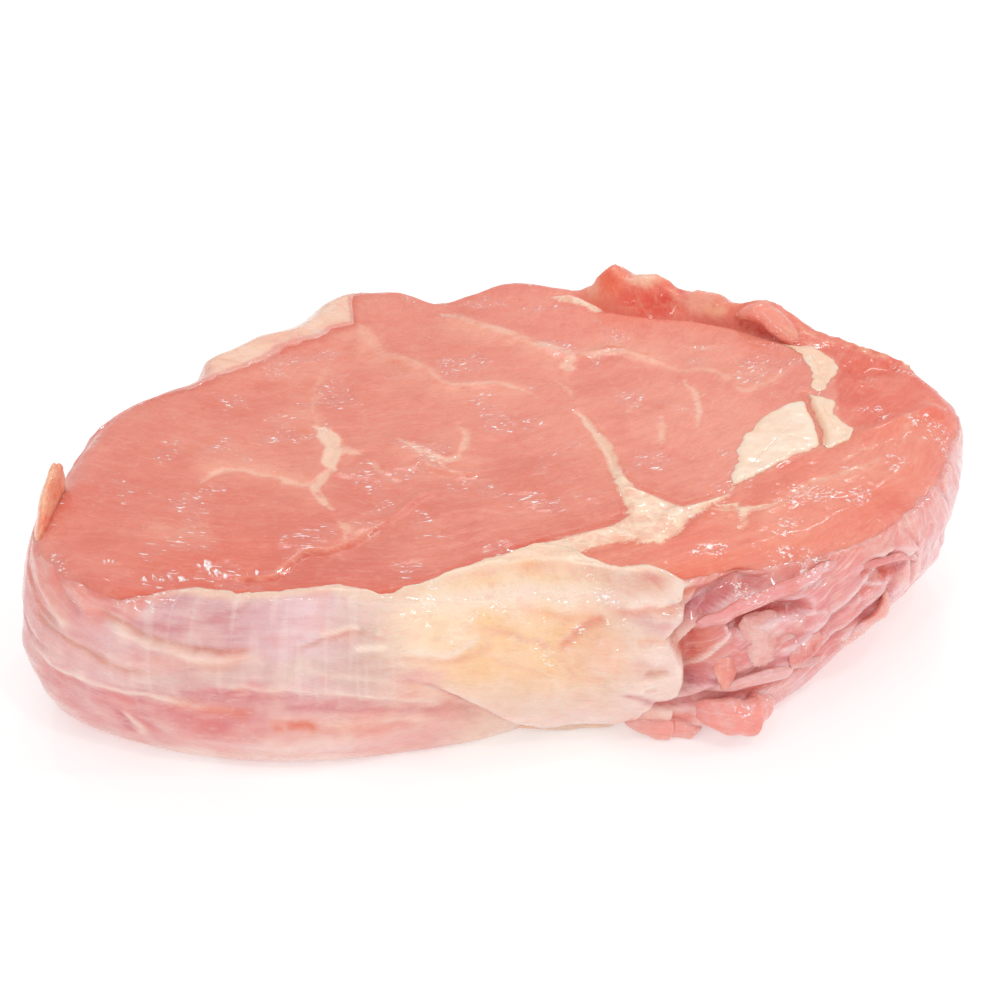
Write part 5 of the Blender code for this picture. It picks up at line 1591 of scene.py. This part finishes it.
studio = {
    "floorSize": 6.0,
    "paper": {
        "Base Color": (0.68, 0.68, 0.68, 1), "Roughness": 0.9, "Specular IOR Level": 0.0,
        "Emission Color": (1, 1, 1, 1), "Emission Strength": 0.42,
    },
    "world": 0.70,
    # millimetres from the heart
    "camera": {
        "elevation": 31.0, "azimuth": -12.0, "distance": 526.0, "aim": (3.11, 5.9, 14.0),
        "lens": 110.0, "sensor": 36.0,
    },
    "lit": (0, 0, 0.02),  # where the lamps point, in metres
    # azimuth and elevation as the camera's, distance and size in metres, power in watts
    "lights": {
        "backSoftbox": (168, 50, 0.9, 0.25, 0.5),
        "topSoftbox": (-40, 72, 0.9, 0.40, 0.5),
        "frontSoftbox": (-6, 22, 1.0, 0.50, 0.55),
        "backSpark": (150, 42, 0.8, 0.05, 0.5),
        "frontSpark": (14, 58, 0.8, 0.05, 0.45),
        "leftSpark": (-30, 40, 0.8, 0.05, 0.35),
        "rightSpark": (72, 38, 0.8, 0.05, 0.45),
        "farSpark": (200, 46, 0.8, 0.04, 0.3),
        "lowSparkLeft": (-48, 5, 0.8, 0.04, 0.2),
        "lowSparkFront": (8, 4, 0.8, 0.04, 0.2),
        "lowSparkRight": (50, 6, 0.8, 0.04, 0.2),
        "sideSpark": (100, 10, 0.8, 0.05, 0.35),
    },
}


def directionTo(azimuth, elevation):
    # the unit vector that points away from the middle, turned from the front by the azimuth and lifted
    turn, lift = math.radians(azimuth), math.radians(elevation)
    return np.array([math.sin(turn) * math.cos(lift), -math.cos(turn) * math.cos(lift), math.sin(lift)])


def pointAt(thing, place, target):
    # the thing at its place, turned so that its own -Z looks at the target and its X stays level
    thing.location = place
    away = np.array(target) - np.array(place)
    flat = math.hypot(away[0], away[1])
    thing.rotation_euler = (math.atan2(flat, -away[2]), 0, math.atan2(away[1], away[0]) - math.pi / 2)


def makeFloor():
    # a matt square that glows a little, as bright paper does
    mesh = bpy.data.meshes.new("studioFloor")
    size = studio["floorSize"]
    corners = [(-size, -size, 0), (size, -size, 0), (size, size, 0), (-size, size, 0)]
    mesh.from_pydata(corners, [], [(0, 1, 2, 3)])
    floor = bpy.data.objects.new("studioFloor", mesh)
    bpy.context.scene.collection.objects.link(floor)
    material = bpy.data.materials.new("studioPaper")
    material.use_nodes = True
    for key, value in studio["paper"].items():
        material.node_tree.nodes["Principled BSDF"].inputs[key].default_value = value
    mesh.materials.append(material)


def makeStudio():
    # an even white world, square lamps round the slice, and a camera with a long lens
    world = bpy.data.worlds.new("studioWorld")
    world.use_nodes = True
    background = world.node_tree.nodes["Background"]
    background.inputs["Color"].default_value = (1, 1, 1, 1)
    background.inputs["Strength"].default_value = studio["world"]
    bpy.context.scene.world = world
    for name, (azimuth, elevation, distance, size, power) in studio["lights"].items():
        light = bpy.data.lights.new(name, "AREA")
        light.size = size
        light.energy = power
        lamp = bpy.data.objects.new(name, light)
        pointAt(lamp, directionTo(azimuth, elevation) * distance, studio["lit"])
        bpy.context.scene.collection.objects.link(lamp)
    view = studio["camera"]
    camera = bpy.data.objects.new("camera", bpy.data.cameras.new("camera"))
    camera.data.lens = view["lens"]
    camera.data.sensor_width = view["sensor"]
    aim = toFrame(np.array([view["aim"]]))[0]
    pointAt(camera, aim + directionTo(view["azimuth"], view["elevation"]) * view["distance"] * 0.001, aim)
    bpy.context.scene.collection.objects.link(camera)
    bpy.context.scene.camera = camera
    bpy.context.scene.view_settings.view_transform = "Standard"


makeFloor()
makeStudio()
print("studio made")

bpy.context.view_layer.update()
